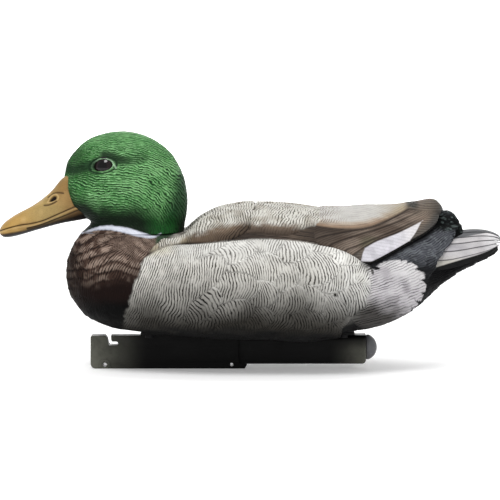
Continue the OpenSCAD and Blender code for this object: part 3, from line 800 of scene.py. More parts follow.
def rump_patch(g):
    """White patch behind the flank with long grooves and a feathered edge."""
    gap = inside_by(g.side, g.high, outline(RUMP_PATCH))
    turn = np.arctan2(g.high - 66, g.side - 108) * 4.2 + 0.5 * g.noise(12, 101)
    tooth = turn % 1
    deep = hashed(np.floor(turn), seed=100)
    gap = gap - (1.5 + 4.0 * deep) * ramp(np.abs(tooth - 0.5), 0.28, 0.5) ** 1.6 * ramp(g.side, 122, 130)
    share = ramp(gap + 0.4 * g.noise(1.8, 102), -0.3, 0.3)
    run = g.high - 0.30 * (g.side - 100) - 0.0040 * (g.side - 100) * (g.high - 55)
    phase = run / 2.1 + 0.35 * g.noise(12, 103, (2.5, 1, 1)) + 0.25 * g.noise(4, 104)
    colour = mix(PATCH_WHITE, srgb(138, 135, 138), ramp(g.noise(8, 105), 0.0, 0.8) * 0.7)
    colour = mix(colour, srgb(194, 192, 193), ramp(g.high + 0.6 * (g.side - 120), 74, 92))
    low = ramp(g.high + 0.35 * (g.side - 120) + 3 * g.noise(9, 106), 62, 40)
    colour = tinted(
        colour,
        (62, 60, 58, low),
        (10, 10, 10, ramp(g.high + 0.2 * (g.side - 110), 36, 28)))
    wash = mix(srgb(92, 90, 92), srgb(14, 14, 14), low)
    g.lay(share, paint=colour, wash=wash, lift=0.7)
    strength = np.clip(0.65 + 0.7 * g.noise(5, 107, (2.5, 1, 1)), 0.05, 1)
    g.cut(share, phase, strength * mix(1.0, 0.6, ramp(g.high + 0.6 * (g.side - 120), 74, 92)), 0.4)
    # dark star-shaped notch at the corner of the flank
    star = np.hypot((g.side - 102.0) / 1.2, g.high - 84.5)
    spikes = 3.3 + 2.4 * np.cos(5 * np.arctan2(g.high - 84.5, g.side - 102.0) + 0.6)
    g.lay(ramp(star - spikes, 0.8, -0.4), paint=srgb(22, 22, 24), wash=BLACK)


RING_TOP = [
    (-152, 110.6), (-141.4, 114.2), (-129.6, 118.8), (-121, 120.2), (-113.6, 120.0), (-102.9, 118.4),
    (-92.1, 115.1), (-81.4, 112.0), (-76.6, 113.2), (-73, 115)]
RING_LOW = [
    (-152, 109.5), (-141.4, 112.8), (-129.6, 115.7), (-121, 116.3), (-113.6, 115.4), (-102.9, 113.0),
    (-92.1, 110.0), (-83, 109.2), (-76.6, 111.3), (-73, 114.4)]


def white_ring(g):
    """Paints the ring of the neck, which crosses the seam between the head and the body."""
    ragged = 0.35 * g.noise(2.2, 111)
    top = curve_at(g.side, RING_TOP) + ragged
    low = curve_at(g.side, RING_LOW) + 0.35 * g.noise(1.6, 112)
    open_rear = ramp(g.side, -73.5, -75.5)
    share = ramp(np.minimum(top - g.high, g.high - low), -0.35, 0.45) * open_rear * (g.z > 104)
    # painted light: the bulging ring is painted whitest along its middle and greyer towards both edges
    lit_middle = ramp(np.minimum(top - g.high, g.high - low), 0.2, 1.6)
    g.lay(share, paint=mix(srgb(160, 163, 174), RING_WHITE, lit_middle), wash=srgb(140, 142, 150))
    g.depth = np.where(share > 0.4, 0.12, g.depth)


def nape_shade(g):
    """Greenish shade on the body behind the ring, where the neck meets the back."""
    away = np.hypot(g.x - AXIS_X, g.y)
    above = g.high - (105.8 + 0.63 * (g.side + 75.6)) + 0.8 * g.noise(3, 113)
    share = ramp(above, -0.8, 0.8) * ramp(away, 58, 52) * ramp(g.side, -81, -77) * (g.z > 98)
    g.lay(share, paint=mix(srgb(62, 80, 62), srgb(20, 40, 22), ramp(g.side, -70, -58)), wash=BLACK)


def head_seat(points):
    """Cuts the flat seat and the round pocket that the head turns in."""
    x, y, z = (points[..., k].copy() for k in range(3))
    away = np.hypot(x - AXIS_X, y)
    inside = ((x < AXIS_X + 14) | (away < POCKET_R)) & (z > SEAM_Z - 0.2)
    rim = (np.abs(away - POCKET_R) < 0.7) & (x > AXIS_X + 13) & (z > SEAM_Z - 6)
    share = np.where(rim, (POCKET_R + np.where(inside, -0.1, 0.1)) / np.maximum(away, 1), 1)
    x = AXIS_X + (x - AXIS_X) * share
    y = y * share
    z = np.where(inside, SEAM_Z - 0.2, z)
    return np.stack([x, y, z], axis=-1)


def make_body(material):
    """Body skin with every feather group, back to front, later ones over earlier ones."""
    g = Surface(body_grid())
    body_base(g)
    mantle(g)
    rump(g)
    coverts(g)
    scapulars(g)
    rump_patch(g)
    breast(g)
    flank(g)
    nape_shade(g)
    white_ring(g)
    g.piece("body_skin", material, "hull", "body_plastic", "body_shell", points=head_seat(g.shaped()))


# ---- Wings -----------------------------------------------------------------------------------

# Upper skin of the folded wings: x, z at the middle of the back, half-width and z where it is widest
WING = [
    (44, 127.5, 79.6, 75.5), (54, 130.8, 80.9, 76), (62, 133.0, 80.9, 76.5), (70, 133.2, 79.4, 77),
    (79.8, 132.9, 76.8, 78), (96, 134.3, 71.6, 80.5), (110, 134.4, 66.2, 82.5),
    (124, 135.0, 59.6, 85.5), (135, 137.2, 54.0, 88), (143, 139.9, 49.6, 90), (150, 141.7, 45.4, 92.5),
    (155, 141.0, 42.0, 94.5), (158.4, 138.4, 38.4, 96), (160.2, 135.4, 35.6, 97)]
# Lower edge of the wing in the side view, tucked behind the flank and then free round the tip
WING_EDGE = [
    (40, 104.5), (55, 101.8), (69, 98.4), (78, 95.6), (84, 93), (94, 88.6), (100.8, 88.9),
    (107.2, 91.2), (120, 98.2), (134.4, 106.3), (147.3, 113.5), (154.6, 119.9), (158.6, 126.0),
    (161.4, 133)]
LONG_FEATHER = [
    (40, 121), (58.8, 116.8), (78, 114.8), (96.4, 116.0), (112.9, 121.7), (126.4, 128.0),
    (132.5, 131.6), (138, 136), (141, 143)]
TERTIALS = (
    # lower edge, lift above the wing's skin
    ([(40, 91), (76, 91), (96.6, 101.0), (107, 106.7),
      (125.4, 113.9), (144.2, 123.4), (150, 128), (154, 136)], 1.3),
    ([(40, 88), (64, 92), (79.8, 98.0), (94.4, 103.4),
      (108, 109.0), (126, 116.0), (144, 124.8), (150, 130)], 1.8),
    ([(40, 92), (56, 97.5), (70.6, 103.5), (92.4, 110.6),
      (110, 115.8), (128, 122.6), (141, 129.5), (147, 136)], 2.3),
    ([(40, 101), (50, 104), (62, 108.6), (80, 112.0),
      (96, 114.8), (110, 119.0), (122, 124.5), (134, 131)], 2.6))
WHITE_BAR = [
    (93.4, 90.2), (93.4, 90.2), (94.4, 96), (96.4, 100.6), (96.4, 100.6), (107, 106.4), (125.4, 113.6),
    (143.8, 122.8), (143.8, 122.8), (139.0, 114.0), (133.6, 106.8), (133.6, 106.8), (120, 99.0),
    (107.2, 92.2), (100.8, 89.8)]


def wing_angle(row, high):
    """Ring angle in degrees at which a wing section reaches a height in the side view."""
    a = np.linspace(1, 88, 400)
    y = row[2] * np.sin(np.radians(a)) ** BACK_POWER
    z = row[3] + (row[1] - row[3]) * np.cos(np.radians(a)) ** BACK_POWER
    near = SIDE_DISTANCE / (SIDE_DISTANCE - y)
    seen = MIDDLE_Z + ((z - MIDDLE_Z) * math.cos(SIDE_TILT) - y * math.sin(SIDE_TILT)) * near
    return float(np.interp(-high, -seen, a))


def wing_points(side, rows=236, columns=120, under=14, thickness=3.0):
    """Closed skin of one folded wing; the columns run over the top and back underneath."""
    table = spline(WING, np.linspace(0, len(WING) - 1, 900))
    rings = []
    for x in np.linspace(WING[0][0], WING[-1][0], rows):
        row = [x] + [np.interp(x, table[:, 0], table[:, k]) for k in (1, 2, 3)]
        low = curve_at(np.array([x * 1.02]), WING_EDGE)[0]
        first = 1.2 + 9 * ramp(x, 153, 160.6)
        last = max(wing_angle(row, low), first + 2.5)
        over = np.radians(np.linspace(first, last, columns))
        back = np.radians(np.linspace(last, first, under + 2)[1:-1])
        rim = thickness * np.sqrt(np.clip((161.2 - x) / 8, 0.03, 1))
        share = np.linspace(0, 1, under + 2)[1:-1]
        depth = rim * np.clip(np.minimum(share, 1 - share) * 9, 0.3, 1)
        parts = []
        for a, inset in ((over, 0 * over), (back, depth)):
            y = (row[2] - inset) * np.sin(a) ** BACK_POWER
            z = row[3] + (row[1] - row[3] - inset) * np.cos(a) ** BACK_POWER
            tuck = 2.4 * ramp(np.degrees(a), last - 5, last) * ramp(x, 100, 88)
            y = y - tuck
            parts.append(np.stack([x + 0 * a, side * y, z], axis=-1))
        rings.append(np.concatenate(parts))
    return np.array(rings), columns


def make_wing(side, name, material):
    """Folded wing: white bar, tertials and the long pale feather over them."""
    points, columns = wing_points(side)
    g = Surface(points)
    top = np.zeros(g.x.shape)
    top[:, :columns] = 1
    smooth_tip = ramp(g.side, 150, 130)
    colour = mix(TIP_BROWN, srgb(116, 103, 92), ramp(g.noise(7, 121, (3, 1, 1)), -0.2, 0.6))
    colour = mix(colour, srgb(58, 57, 54), ramp(g.side + 0.25 * (126 - g.high), 144, 156) * 0.75)
    edge = over_line(g, WING_EDGE)
    colour = tinted(
        colour,
        (66, 66, 65, ramp(edge, 12, 3) * 0.7),
        (10, 10, 11, ramp(edge, 1.8, 0.6)))
    g.paint = colour
    g.wash[:] = srgb(34, 30, 27)
    g.phase = (g.high + 0.03 * g.side) / 1.9 + 0.25 * g.noise(10, 122, (3, 1, 1))
    g.depth[:] = 0.5
    g.carve[:] = 0.22
    g.lift = 1.0 * ramp(g.x, 160, 150)

    bar = inside_by(g.side, g.high, outline(WHITE_BAR))
    share = ramp(bar, -0.25, 0.25)
    white = mix(BAR_WHITE, srgb(164, 162, 168), ramp(g.noise(5, 123), 0.1, 0.8) * 0.7)
    white = mix(white, srgb(206, 203, 202), ramp(g.side, 120, 142) * 0.8)
    g.lay(share, paint=white, wash=srgb(128, 126, 130), lift=0.9 + 0.5 * ramp(bar, 0, 2))
    g.cut(share, (g.high + 0.15 * g.side) / 2.6 + 0.4 * g.noise(9, 124), 0.22, 0.12)

    for number, (line, lift) in enumerate(TERTIALS):
        over = over_line(g, line)
        share = ramp(over, -0.25, 0.25)
        brown = mix(TERTIAL_BROWN, srgb(80, 69, 61), ramp(g.noise(8, 130 + number, (3.5, 1, 1)), -0.3, 0.6))
        brown = tinted(
            brown,
            (46, 39, 34, ramp(g.side + 0.8 * (110 - g.high), 98, 64) * 0.75),
            (84, 84, 66, ramp(np.hypot(g.side - 100, (g.high - 104) * 1.5), 12, 4) * 0.5))
        body = mix(brown, colour, ramp(g.side, 128, 146))
        rim = ramp(over, 1.5, 0.3) * ramp(g.side, 146, 128)
        body = mix(body, srgb(32, 27, 24), rim * 0.9)
        lift = 1.0 + (lift - 1.0 + 0.4 * ramp(over, 0, 2)) * smooth_tip
        g.lay(share, paint=body, wash=srgb(38, 32, 28), lift=lift)
        g.cut(share, over / 1.8 + 0.25 * g.noise(12, 127, (3, 1, 1)), 0.5, 0.22)

    over = over_line(g, LONG_FEATHER)
    share = ramp(over, -0.25, 0.25)
    ragged = over + 1.2 * g.noise(6, 125, (2.5, 1, 1)) + 0.6 * g.noise(2, 126, (3, 1, 1))
    body = mix(srgb(132, 112, 95), srgb(160, 148, 134), ramp(ragged, 1.0, 4.5))
    body = tinted(
        body,
        (173, 171, 167, ramp(ragged, 3.0, 8.0)),
        (146, 136, 116, ramp(g.side + 0.5 * (over - 6), 104, 128) * 0.8),
        (96, 88, 78, ramp(g.side, 128, 134)))
    body = mix(body, colour, ramp(g.side, 139, 144))
    body = mix(body, srgb(70, 58, 49), ramp(over, 1.0, 0.1) * ramp(g.side, 138, 128) * 0.8)
    g.lay(share, paint=body, wash=srgb(96, 84, 72), lift=1.0 + (1.9 + 0.5 * ramp(over, 0, 2)) * smooth_tip)
    g.cut(share, over / 1.7 + 0.25 * g.noise(12, 128, (3, 1, 1)), 0.16 + 0.3 * ramp(ragged, 6, 1), 0.1)
    barred = ramp(g.x + 5 * g.noise(7, 78), 88, 56)
    pale = share * ramp(ragged, 2.0, 5.5)
    strength = np.clip(0.80 + 0.6 * g.noise(5, 63) + 0.3 * g.noise(2.2, 66), 0.1, 1) * barred
    g.cut(pale * (barred > 0.04), scapular_lines(g, 64, slant=0.25), strength, 0.3)
    spot = ramp(np.hypot((g.side - 137.0) / 1.35, g.high - 135.8), 5.2, 1.8) * (g.z > 112)
    g.lay(spot * 0.85, paint=srgb(50, 51, 48), wash=BLACK)
    g.lift *= top
    g.carve *= top
    g.piece(name, material, "hull", "body_plastic", "body_shell")


# ---- Tail ------------------------------------------------------------------------------------

# Skin that the tail feathers lie on: x, z along the middle, half-width and z at the sides
TAIL = [
    (148, 118.2, 36.0, 82), (165, 117.2, 37.6, 86.5), (176, 116.9, 37.2, 90.5),
    (187, 117.6, 36.4, 94.5), (196, 117.2, 33.0, 98), (203, 115.6, 27.5, 101), (208, 113.2, 20.0, 103),
    (210.4, 110.4, 12.0, 104.5)]
TAIL_FEATHERS = 6             # on each side
# Upper and lower edges of the white in the side view
TAIL_TOP = [(160, 106.5), (167.8, 108), (184.2, 111.3), (198.7, 114.0), (206, 115.0)]
TAIL_LOW = [(150, 83.3), (153.8, 84.3), (174.6, 90.6), (193.9, 96.4), (205.5, 101.7), (211, 107)]


def tail_feather(side, number, rows=96, columns=26):
    """One flat tail feather, thin at its edges, lying along the domed fan."""
    table = spline(TAIL, np.linspace(0, len(TAIL) - 1, 400))
    spread = number / (TAIL_FEATHERS - 1)
    root_x = 149
    tip_x = 210.2 - 4.5 * spread ** 3
    over = np.linspace(-1, 1, columns)
    face_w = np.concatenate([over, over[::-1]])
    is_top = np.concatenate([np.ones(columns), np.zeros(columns)])
    rings = []
    for x in np.linspace(root_x, tip_x, rows):
        along = (x - root_x) / (tip_x - root_x)
        middle = (7 + 80 * spread) * (1 - 0.12 * (1 - along))
        end = np.clip((along - 0.78) / 0.22, 0, 1)
        half = 10.2 * np.sqrt(max(1 - end ** 2, 0.015))
        a = np.radians(np.clip(middle + half * face_w, 0.4, 97))
        top, wide, low = (np.interp(x, table[:, 0], table[:, k]) for k in (1, 2, 3))
        below = np.where(is_top > 0, 0, 1.5 * (1 - 0.75 * face_w ** 2))
        inset = number * 0.75 + 0.6 + 0.4 * face_w ** 2 + below
        y = (wide - inset) * np.sin(a) ** 0.94
        z = low + (top - low - inset) * np.sign(np.cos(a)) * np.abs(np.cos(a)) ** 0.94
        rings.append(np.stack([x + 0 * y, side * y, z], axis=-1))
    return np.array(rings), np.tile(face_w, (rows, 1)), np.tile(is_top, (rows, 1))


def make_tail(material):
    """Fan of separate feathers, white above and black below, the middle pair grey."""
    for side, label in SIDES:
        for number in range(TAIL_FEATHERS):
            points, share, upper = tail_feather(side, number)
            g = Surface(points)
            cloud = ramp(g.noise(7, 131 + number, (3, 1, 1)), 0, 0.8)
            tone = mix(srgb(176, 173, 174), srgb(146, 144, 148), cloud)
            if number == 0:
                tone = mix(srgb(56, 58, 62), srgb(110, 110, 112), ramp(g.x, 180, 202))
            else:
                tone = mix(tone, srgb(206, 205, 206), 0.8 * ramp(g.x, 190, 204))
            tone = mix(tone, srgb(176, 172, 158), ramp(g.high, 96, 88) * 0.6)
            grey = ramp(over_line(g, TAIL_TOP), -0.4, 0.5)
            tone = mix(tone, srgb(84, 85, 87), grey * (number < 4) * ramp(g.side, 207, 199))
            # painted shadow: one edge of each feather is painted dark, as the shadow line between it and
            # its neighbour
            edge = ramp(np.abs(share), 0.80, 0.93)
            tone = mix(tone, srgb(62, 62, 66), edge * (share > 0) * 0.9)
            under = np.maximum(1 - upper, ramp(over_line(g, TAIL_LOW), 0.4, -0.5))
            tone = mix(tone, srgb(8, 8, 9), under)
            g.paint = tone
            g.wash = mix(g.wash + srgb(104, 104, 108), BLACK, under)
            g.phase = share * 4.2 + 0.3 * g.noise(10, 133, (3, 1, 1))
            g.depth[:] = 0.30
            g.carve = 0.12 * upper
            g.piece(f"tail_feather_{label}_{number + 1}", material, "hull", "body_plastic", "body_shell")


# ---- Head ------------------------------------------------------------------------------------

# Head sections: z above the seam, front x and rear x from the swivel axis, half-width
HEAD = [
    (0.12, -45.7, 38.8, 37.4), (3, -42.6, 39.4, 34.4), (6, -39.8, 39.8, 32.2), (9.0, -39.8, 40.3, 31.8),
    (12.0, -44.6, 41.0, 32.2), (17.5, -49.8, 41.7, 32.8), (25.5, -53.8, 42.2, 33.8),
    (34.5, -57.0, 41.4, 33.8), (44.5, -58.8, 39.4, 32.8), (54.5, -57.8, 35.4, 30.8),
    (64.5, -53.6, 29.4, 27.4), (72.5, -47.0, 20.8, 22.3), (78.5, -38.0, 11.0, 16.2),
    (82.0, -27.5, 1.5, 9.4), (83.4, -21.0, -5.5, 4.6), (83.9, -15.0, -10.0, 0.8)]
HEAD_WIDEST = 2
FACE_POWER = 1.12
EYE_AT = (-121.8, 24.6, 171.6)
EYE_UP = math.radians(9)
EYE_AHEAD = math.radians(19)
EYE_R = 7.4                   # edge of the glass
EYE_DOME = 12.9               # radius of its curve


def head_grid():
    rows = spline(HEAD, even_steps(HEAD, (1, 2, 3), 0.48))
    a = np.linspace(0, 2 * np.pi, 460, endpoint=False)[None, :]
    z, front, rear, half = (rows[:, k][:, None] for k in range(4))
    c, s = np.cos(a), np.sin(a)
    ahead = c > 0
    widest = np.minimum(HEAD_WIDEST, rear - 0.4 * (rear - front))
    reach = np.where(ahead, widest - front, rear - widest)
    x = AXIS_X + widest - reach * c
    y = half * np.sign(s) * np.abs(s) ** np.where(ahead, FACE_POWER, 1)
    return np.stack([x, y, SEAM_Z + z + 0 * a], axis=-1)


def eye_frame(side):
    """Middle of an eye's seat and its outward axis."""
    level = math.cos(EYE_UP)
    axis = Vector((-math.sin(EYE_AHEAD) * level, side * math.cos(EYE_AHEAD) * level, math.sin(EYE_UP)))
    return Vector((EYE_AT[0], side * EYE_AT[1], EYE_AT[2])), axis


GREEN_LIGHT = srgb(106, 154, 100)
GREEN = srgb(54, 106, 52)
# Above this line in the side view the head is lit green, and below it dark
SHADE_LINE = [
    (-150, 149), (-143, 143), (-131, 137), (-120, 133.5), (-95, 131), (-80, 127), (-66, 124),
    (-50, 124)]
LORE = [(-156, 169), (-147, 166.5), (-138, 169.5), (-130, 172)]
BROW = [(-122, 179.4), (-116, 178.2), (-110.5, 175.6), (-103, 174.8), (-96, 175.4), (-88, 177)]


def head_paint(g):
    """Bottle-green head with short carved feather strokes, painted highlights on cheek and crown, and
    painted shade at the lore, brow, nape, throat and forehead.
    """
    behind = g.side > -112
    ring = np.hypot(g.side + 112, g.high - 105)
    flow = np.where(behind, ring + 105, g.high) + 0.35 * (34 - np.abs(g.y)) * ramp(g.high, 170, 190)
    run = np.where(behind, -112 + 42 * np.arctan2(g.side + 112, np.abs(g.high - 105) + 1), g.side)
    face = ramp(g.side, -122, -146) * ramp(g.high, 172, 156)
    flow = flow + 0.22 * face * (g.side + 122)
    phase = (flow / HEAD_STROKES + 0.55 * g.noise(9, 201) + 0.42 * g.noise(3.4, 202)
             + 0.15 * g.noise(1.6, 211))
    row = np.floor(phase)
    dash = (run + 9 * hashed(row, seed=203)) / 8.5 + 0.5 * g.noise(6, 204)
    part = hashed(row, np.floor(dash), seed=208)
    gap = ramp(np.abs((dash % 1) - 0.5), 0.30, 0.50)
    strength = np.clip((0.75 + 0.5 * part) * (1 - 0.85 * gap) + 0.25 * g.noise(4, 205), 0, 1)
    crown = ramp(g.high, 182, 196)
    strength = strength * mix(1.0, 0.55, crown)
    # painted light: random lit and shaded patches of green, and painted highlights on the cheek and the
    # crown
    lit = 0.5 + 0.45 * g.noise(13, 206) + 0.30 * g.noise(3, 207)
    cheek = ramp(np.hypot((g.side + 100) / 1.3, g.high - 160), 40, 12)
    light = np.clip(0.55 * ramp(lit, 0.35, 0.95) + 0.3 * cheek + 0.35 * crown, 0, 1)
    colour = mix(GREEN, GREEN_LIGHT, light)
    colour = mix(colour, srgb(40, 92, 44), ramp(lit, 0.40, 0.05) * 0.6)
    # light dry-brushed lips beside the carved strokes
    lip = ramp(np.abs((phase % 1) - 0.96), 0.16, 0.04) * strength
    colour = mix(colour, srgb(150, 204, 144), lip * 0.75)
    # painted shade: the nape, the throat below the shade line and the forehead are painted darker
    nape = ramp(g.side - 0.30 * (g.high - 160), -68, -54) * ramp(g.high, 190, 168)
    colour = mix(colour, srgb(26, 54, 34), nape * 0.85)
    low = ramp(over_line(g, SHADE_LINE) + 2.5 * g.noise(8, 212), 12, -7)
    throat = mix(srgb(8, 24, 9), srgb(18, 66, 24), ramp(g.side, -92, -76) * ramp(g.side, -56, -66))
    colour = mix(colour, throat, low)
    forehead = ramp(g.side + 0.55 * (g.high - 180), -130, -146) * ramp(g.high, 152, 170)
    colour = mix(colour, srgb(34, 70, 33), forehead * 0.75)
    # painted shade in the carved hollows of the lore and the brow
    lore = ramp(distance_to(g.side, g.high, LORE), 6.5, 1.5)
    colour = mix(colour, srgb(22, 46, 26), lore * 0.85)
    brow = ramp(distance_to(g.side, g.high, BROW), 6.2, 1.1)
    colour = mix(colour, srgb(8, 26, 12), brow * 0.9 * mix(0.6, 1.0, ramp(g.side, -94, -108)))
    g.paint = colour
    g.wash = mix(srgb(10, 36, 14), srgb(4, 12, 6), low)
    g.phase, g.depth = phase, strength * (1 - 0.5 * low) * (1 - 0.3 * brow)
    g.carve[:] = 0.42
    top = ramp(g.z, SEAM_Z + 83.2, SEAM_Z + 79)
    g.carve = g.carve * top
    g.lift = (-1.0 * brow - 0.5 * lore) * top
    # feathers that stand forward over the sides of the bill's root
    pad = ramp(g.side, -128, -147) * ramp(g.high, 128, 140) * ramp(g.high, 166, 150)
    g.lift = g.lift + 4.6 * pad * ramp(np.abs(g.y), 4, 12)
    # and those that run down the middle of the forehead to the bill
    middle = ramp(np.abs(g.y), 11, 1) * ramp(g.side, -134, -146)
    g.lift = g.lift + 2.2 * middle * ramp(g.high, 148, 159) * ramp(g.high, 186, 168)


def eye_socket(g):
    """Lids round each eye and the almond opening that shows the glass."""
    for side in (-1, 1):
        middle, axis = eye_frame(side)
        off = g.points - np.array(middle)
        n = np.array(axis)
        up = np.array((0, 0, 1.0)) - n * n[2]
        up /= np.linalg.norm(up)
        ahead = np.cross(up, n) * side
        u, v, w = off @ ahead, off @ up, off @ n
        near = (np.abs(w) < 14) & (g.y * side > 0)
        rise = v + 0.10 * u
        height = np.where(rise > 0, 5.3, 4.5)
        almond = np.hypot(u / 8.6, rise / height)
        tail = ramp(distance_to(u, v, [(-3.0, 5.9), (-7.5, 3.6), (-10.5, 0.4), (-12.0, -1.8)]), 1.0, 0.2)
        lid = np.maximum(ramp(np.abs(almond - 1.10), 0.11, 0.0), tail) * near
        hollow = ramp(almond, 1.06, 0.95) * near
        moat = ramp(np.abs(almond - 1.42), 0.22, 0.04) * near
        g.lay(moat, paint=srgb(14, 36, 18))
        g.lift += mix(0.8, 1.3, v > 0) * lid - 4.5 * hollow - 0.5 * moat * (1 - tail)
        g.lay(lid * mix(0.12, 0.8, ramp(v - 0.5 * u, -3, 4)), paint=srgb(150, 178, 150))
        g.lay(hollow, paint=srgb(6, 5, 6), wash=BLACK)
        g.depth = np.where((lid > 0.3) | (hollow > 0.1) | (moat > 0.3), 0.0, g.depth)


def make_head(material):
    """Head and neck down to the seam, with the part of the ring above it."""
    g = Surface(head_grid())
    head_paint(g)
    below_ring = ramp(-over_line(g, RING_LOW), -0.5, 0.5) * (g.z < 121) * (g.side < -76)
    brown = mix(BREAST_MID, BREAST_LIGHT, ramp(g.noise(3, 214), -0.2, 0.6))
    g.lay(below_ring, paint=brown, wash=BREAST_DARK)
    white_ring(g)
    eye_socket(g)
    g.piece("head_skin", material, "head", "head_paint", "head_shell")


# ---- Bill and eyes ---------------------------------------------------------------------------

# Bill sections: distance ahead of the face, bottom z, top z, half-width
BILL = [
    (-1.5, 126.4, 165.5, 13.6), (2.5, 125.4, 161.6, 13.3), (8.0, 124.2, 157.6, 12.8),
    (17.0, 122.2, 149.3, 12.0), (27.0, 119.2, 141.9, 11.6), (37.0, 116.1, 136.0, 11.9),
    (47.0, 112.9, 131.2, 12.8), (55.0, 110.8, 126.8, 12.8), (61.0, 110.5, 122.4, 10.4),
    (63.6, 111.8, 119.3, 7.0), (64.8, 113.4, 117.2, 3.4), (65.0, 114.6, 116.0, 1.0)]
BILL_X = -145.0
BILL_LENGTH = 65.0
FACE_TILT = math.radians(24)  # lean of the bill's root
NOSTRIL = (-165.3, 142.1)     # in the side view
NOSTRIL_TURN = 0.62
# Gape, the line under it and the creases of the nostril, in the side view
GAPE = [
    (-211, 115.2), (-206.5, 116.8), (-198.3, 119.1), (-191, 120.6), (-184.7, 121.4), (-178, 122.8),
    (-171.2, 125.0), (-159.9, 130.0), (-147.6, 135.3), (-141, 137.4)]
UNDER_LINE = [
    (-187, 117.6), (-179.4, 119.4), (-172.3, 121.8), (-165.3, 124.4), (-158.2, 127.1), (-151.1, 130.0),
    (-144.6, 132.7), (-139, 134.8)]
BILL_TAN = srgb(149, 127, 80)
BILL_WARM = srgb(162, 130, 73)
BILL_DARK = srgb(78, 58, 34)


def bill_grid(around=220):
    rows = spline(BILL, even_steps(BILL, (1, 2, 3), 0.42))
    a = np.linspace(0, 2 * np.pi, around, endpoint=False)[None, :]
    ahead, low, high, half = (rows[:, k][:, None] for k in range(4))
    c, s = np.cos(a), np.sin(a)
    rise = (high - low) / 2 * np.sign(c) * np.abs(c) ** 0.94
    lean = math.tan(FACE_TILT) * (1 - ahead / BILL_LENGTH)
    x = BILL_X - ahead - lean * rise
    y = half * np.sign(s) * np.abs(s) ** 0.85
    return np.stack([x, y, (low + high) / 2 + rise], axis=-1)


def make_bill(material):
    """Bill with its gape, nostrils, creases and nail."""
    g = Surface(bill_grid())
    seen = g.high
    warm = ramp(g.x + 3 * g.noise(9, 301), -172, -196)
    colour = mix(BILL_TAN, BILL_WARM, warm)
    colour = tinted(
        colour,
        (140, 112, 68, ramp(g.noise(11, 302), 0.0, 0.8) * 0.6),
        (184, 156, 104, ramp(g.noise(7, 303), 0.25, 0.9) * 0.5))
    root = ramp(g.side + 0.3 * (seen - 140), -168, -152)
    colour = mix(colour, srgb(122, 90, 50), root * 0.6)
    ridge = ramp(np.abs(g.y), 6.5, 2.0) * ramp(g.z, 124, 134)
    colour = mix(colour, srgb(120, 96, 60), ridge * 0.6)
    gape = distance_to(g.side, seen, GAPE)
    lip = seen - curve_at(g.side, GAPE)
    side = np.abs(g.y) > 2.5
    level = np.where(g.side > -187, curve_at(g.side, UNDER_LINE), 116.2 + 0.12 * (g.side + 187))
    shelf = curve_at(g.side, GAPE) - level
    # painted shade: the bill below its lower line and every face turned downwards are painted darker
    under = ramp(lip + shelf, 0.5, -1.5) * side
    colour = tinted(
        colour,
        (70, 50, 28, under * 0.85),
        (14, 10, 7, ramp(lip + shelf, -1.5, -5.5) * 0.9),
        (10, 8, 6, ramp(g.normal[..., 2], -0.45, -0.85)),
        (170, 142, 96, ramp(np.abs(lip + 1.6), 1.3, 0.3) * side * 0.55))
    line = ramp(gape, 0.85, 0.2) * side
    colour = mix(colour, srgb(44, 28, 14), line * 0.9)
    second = ramp(distance_to(g.side, seen, UNDER_LINE), 1.0, 0.25) * side
    colour = mix(colour, srgb(30, 20, 10), second * 0.9)
    g.lift = 0.35 * ramp(np.abs(lip + 1.2), 1.4, 0.4) * side - 0.75 * line - 0.5 * second
    # nostril with its creases
    across, rise = g.side - NOSTRIL[0], seen - NOSTRIL[1]
    u = across * math.cos(NOSTRIL_TURN) + rise * math.sin(NOSTRIL_TURN)
    v = -across * math.sin(NOSTRIL_TURN) + rise * math.cos(NOSTRIL_TURN)
    hole = np.hypot(u / 3.3, v / (1.55 + 0.16 * u))
    g.lift += 0.55 * ramp(np.abs(hole - 1.6), 0.55, 0.1) * side - 1.9 * ramp(hole, 1.15, 0.7) * side
    colour = tinted(
        colour,
        (196, 170, 118, ramp(np.abs(hole - 1.55), 0.35, 0.05) * side * 0.5),
        (16, 10, 6, ramp(hole, 1.2, 0.8) * side))
    for points, deep in (([(-169.4, 143.8), (-165.3, 146.6), (-161.1, 147.6), (-156.6, 147.1)], 0.55),
                         ([(-172.6, 137.0), (-168.8, 137.3), (-164.9, 138.8), (-162.4, 140.4)], 0.6)):
        crease = ramp(distance_to(g.side, seen, points), 1.1, 0.2) * side
        g.lift -= deep * crease
        colour = mix(colour, srgb(60, 42, 22), crease * 0.85)
    # nail at the tip
    nail = np.hypot((g.x + 210) / 10.5, g.y / 5.6)
    nail_line = ramp(np.abs(nail - 1), 0.14, 0.02) * (g.z > 114)
    g.lift -= 0.3 * nail_line
    colour = mix(colour, BILL_DARK, nail_line * 0.5)
    g.paint = colour
    g.wash[:] = BILL_DARK
    g.phase = (seen - 0.3 * g.x) / 1.5 + 0.6 * g.noise(6, 304, (3, 1, 1))
    g.depth[:] = 0.10
    g.carve[:] = 0.1
    g.piece("bill_skin", material, "head", "bill_paint", "bill")


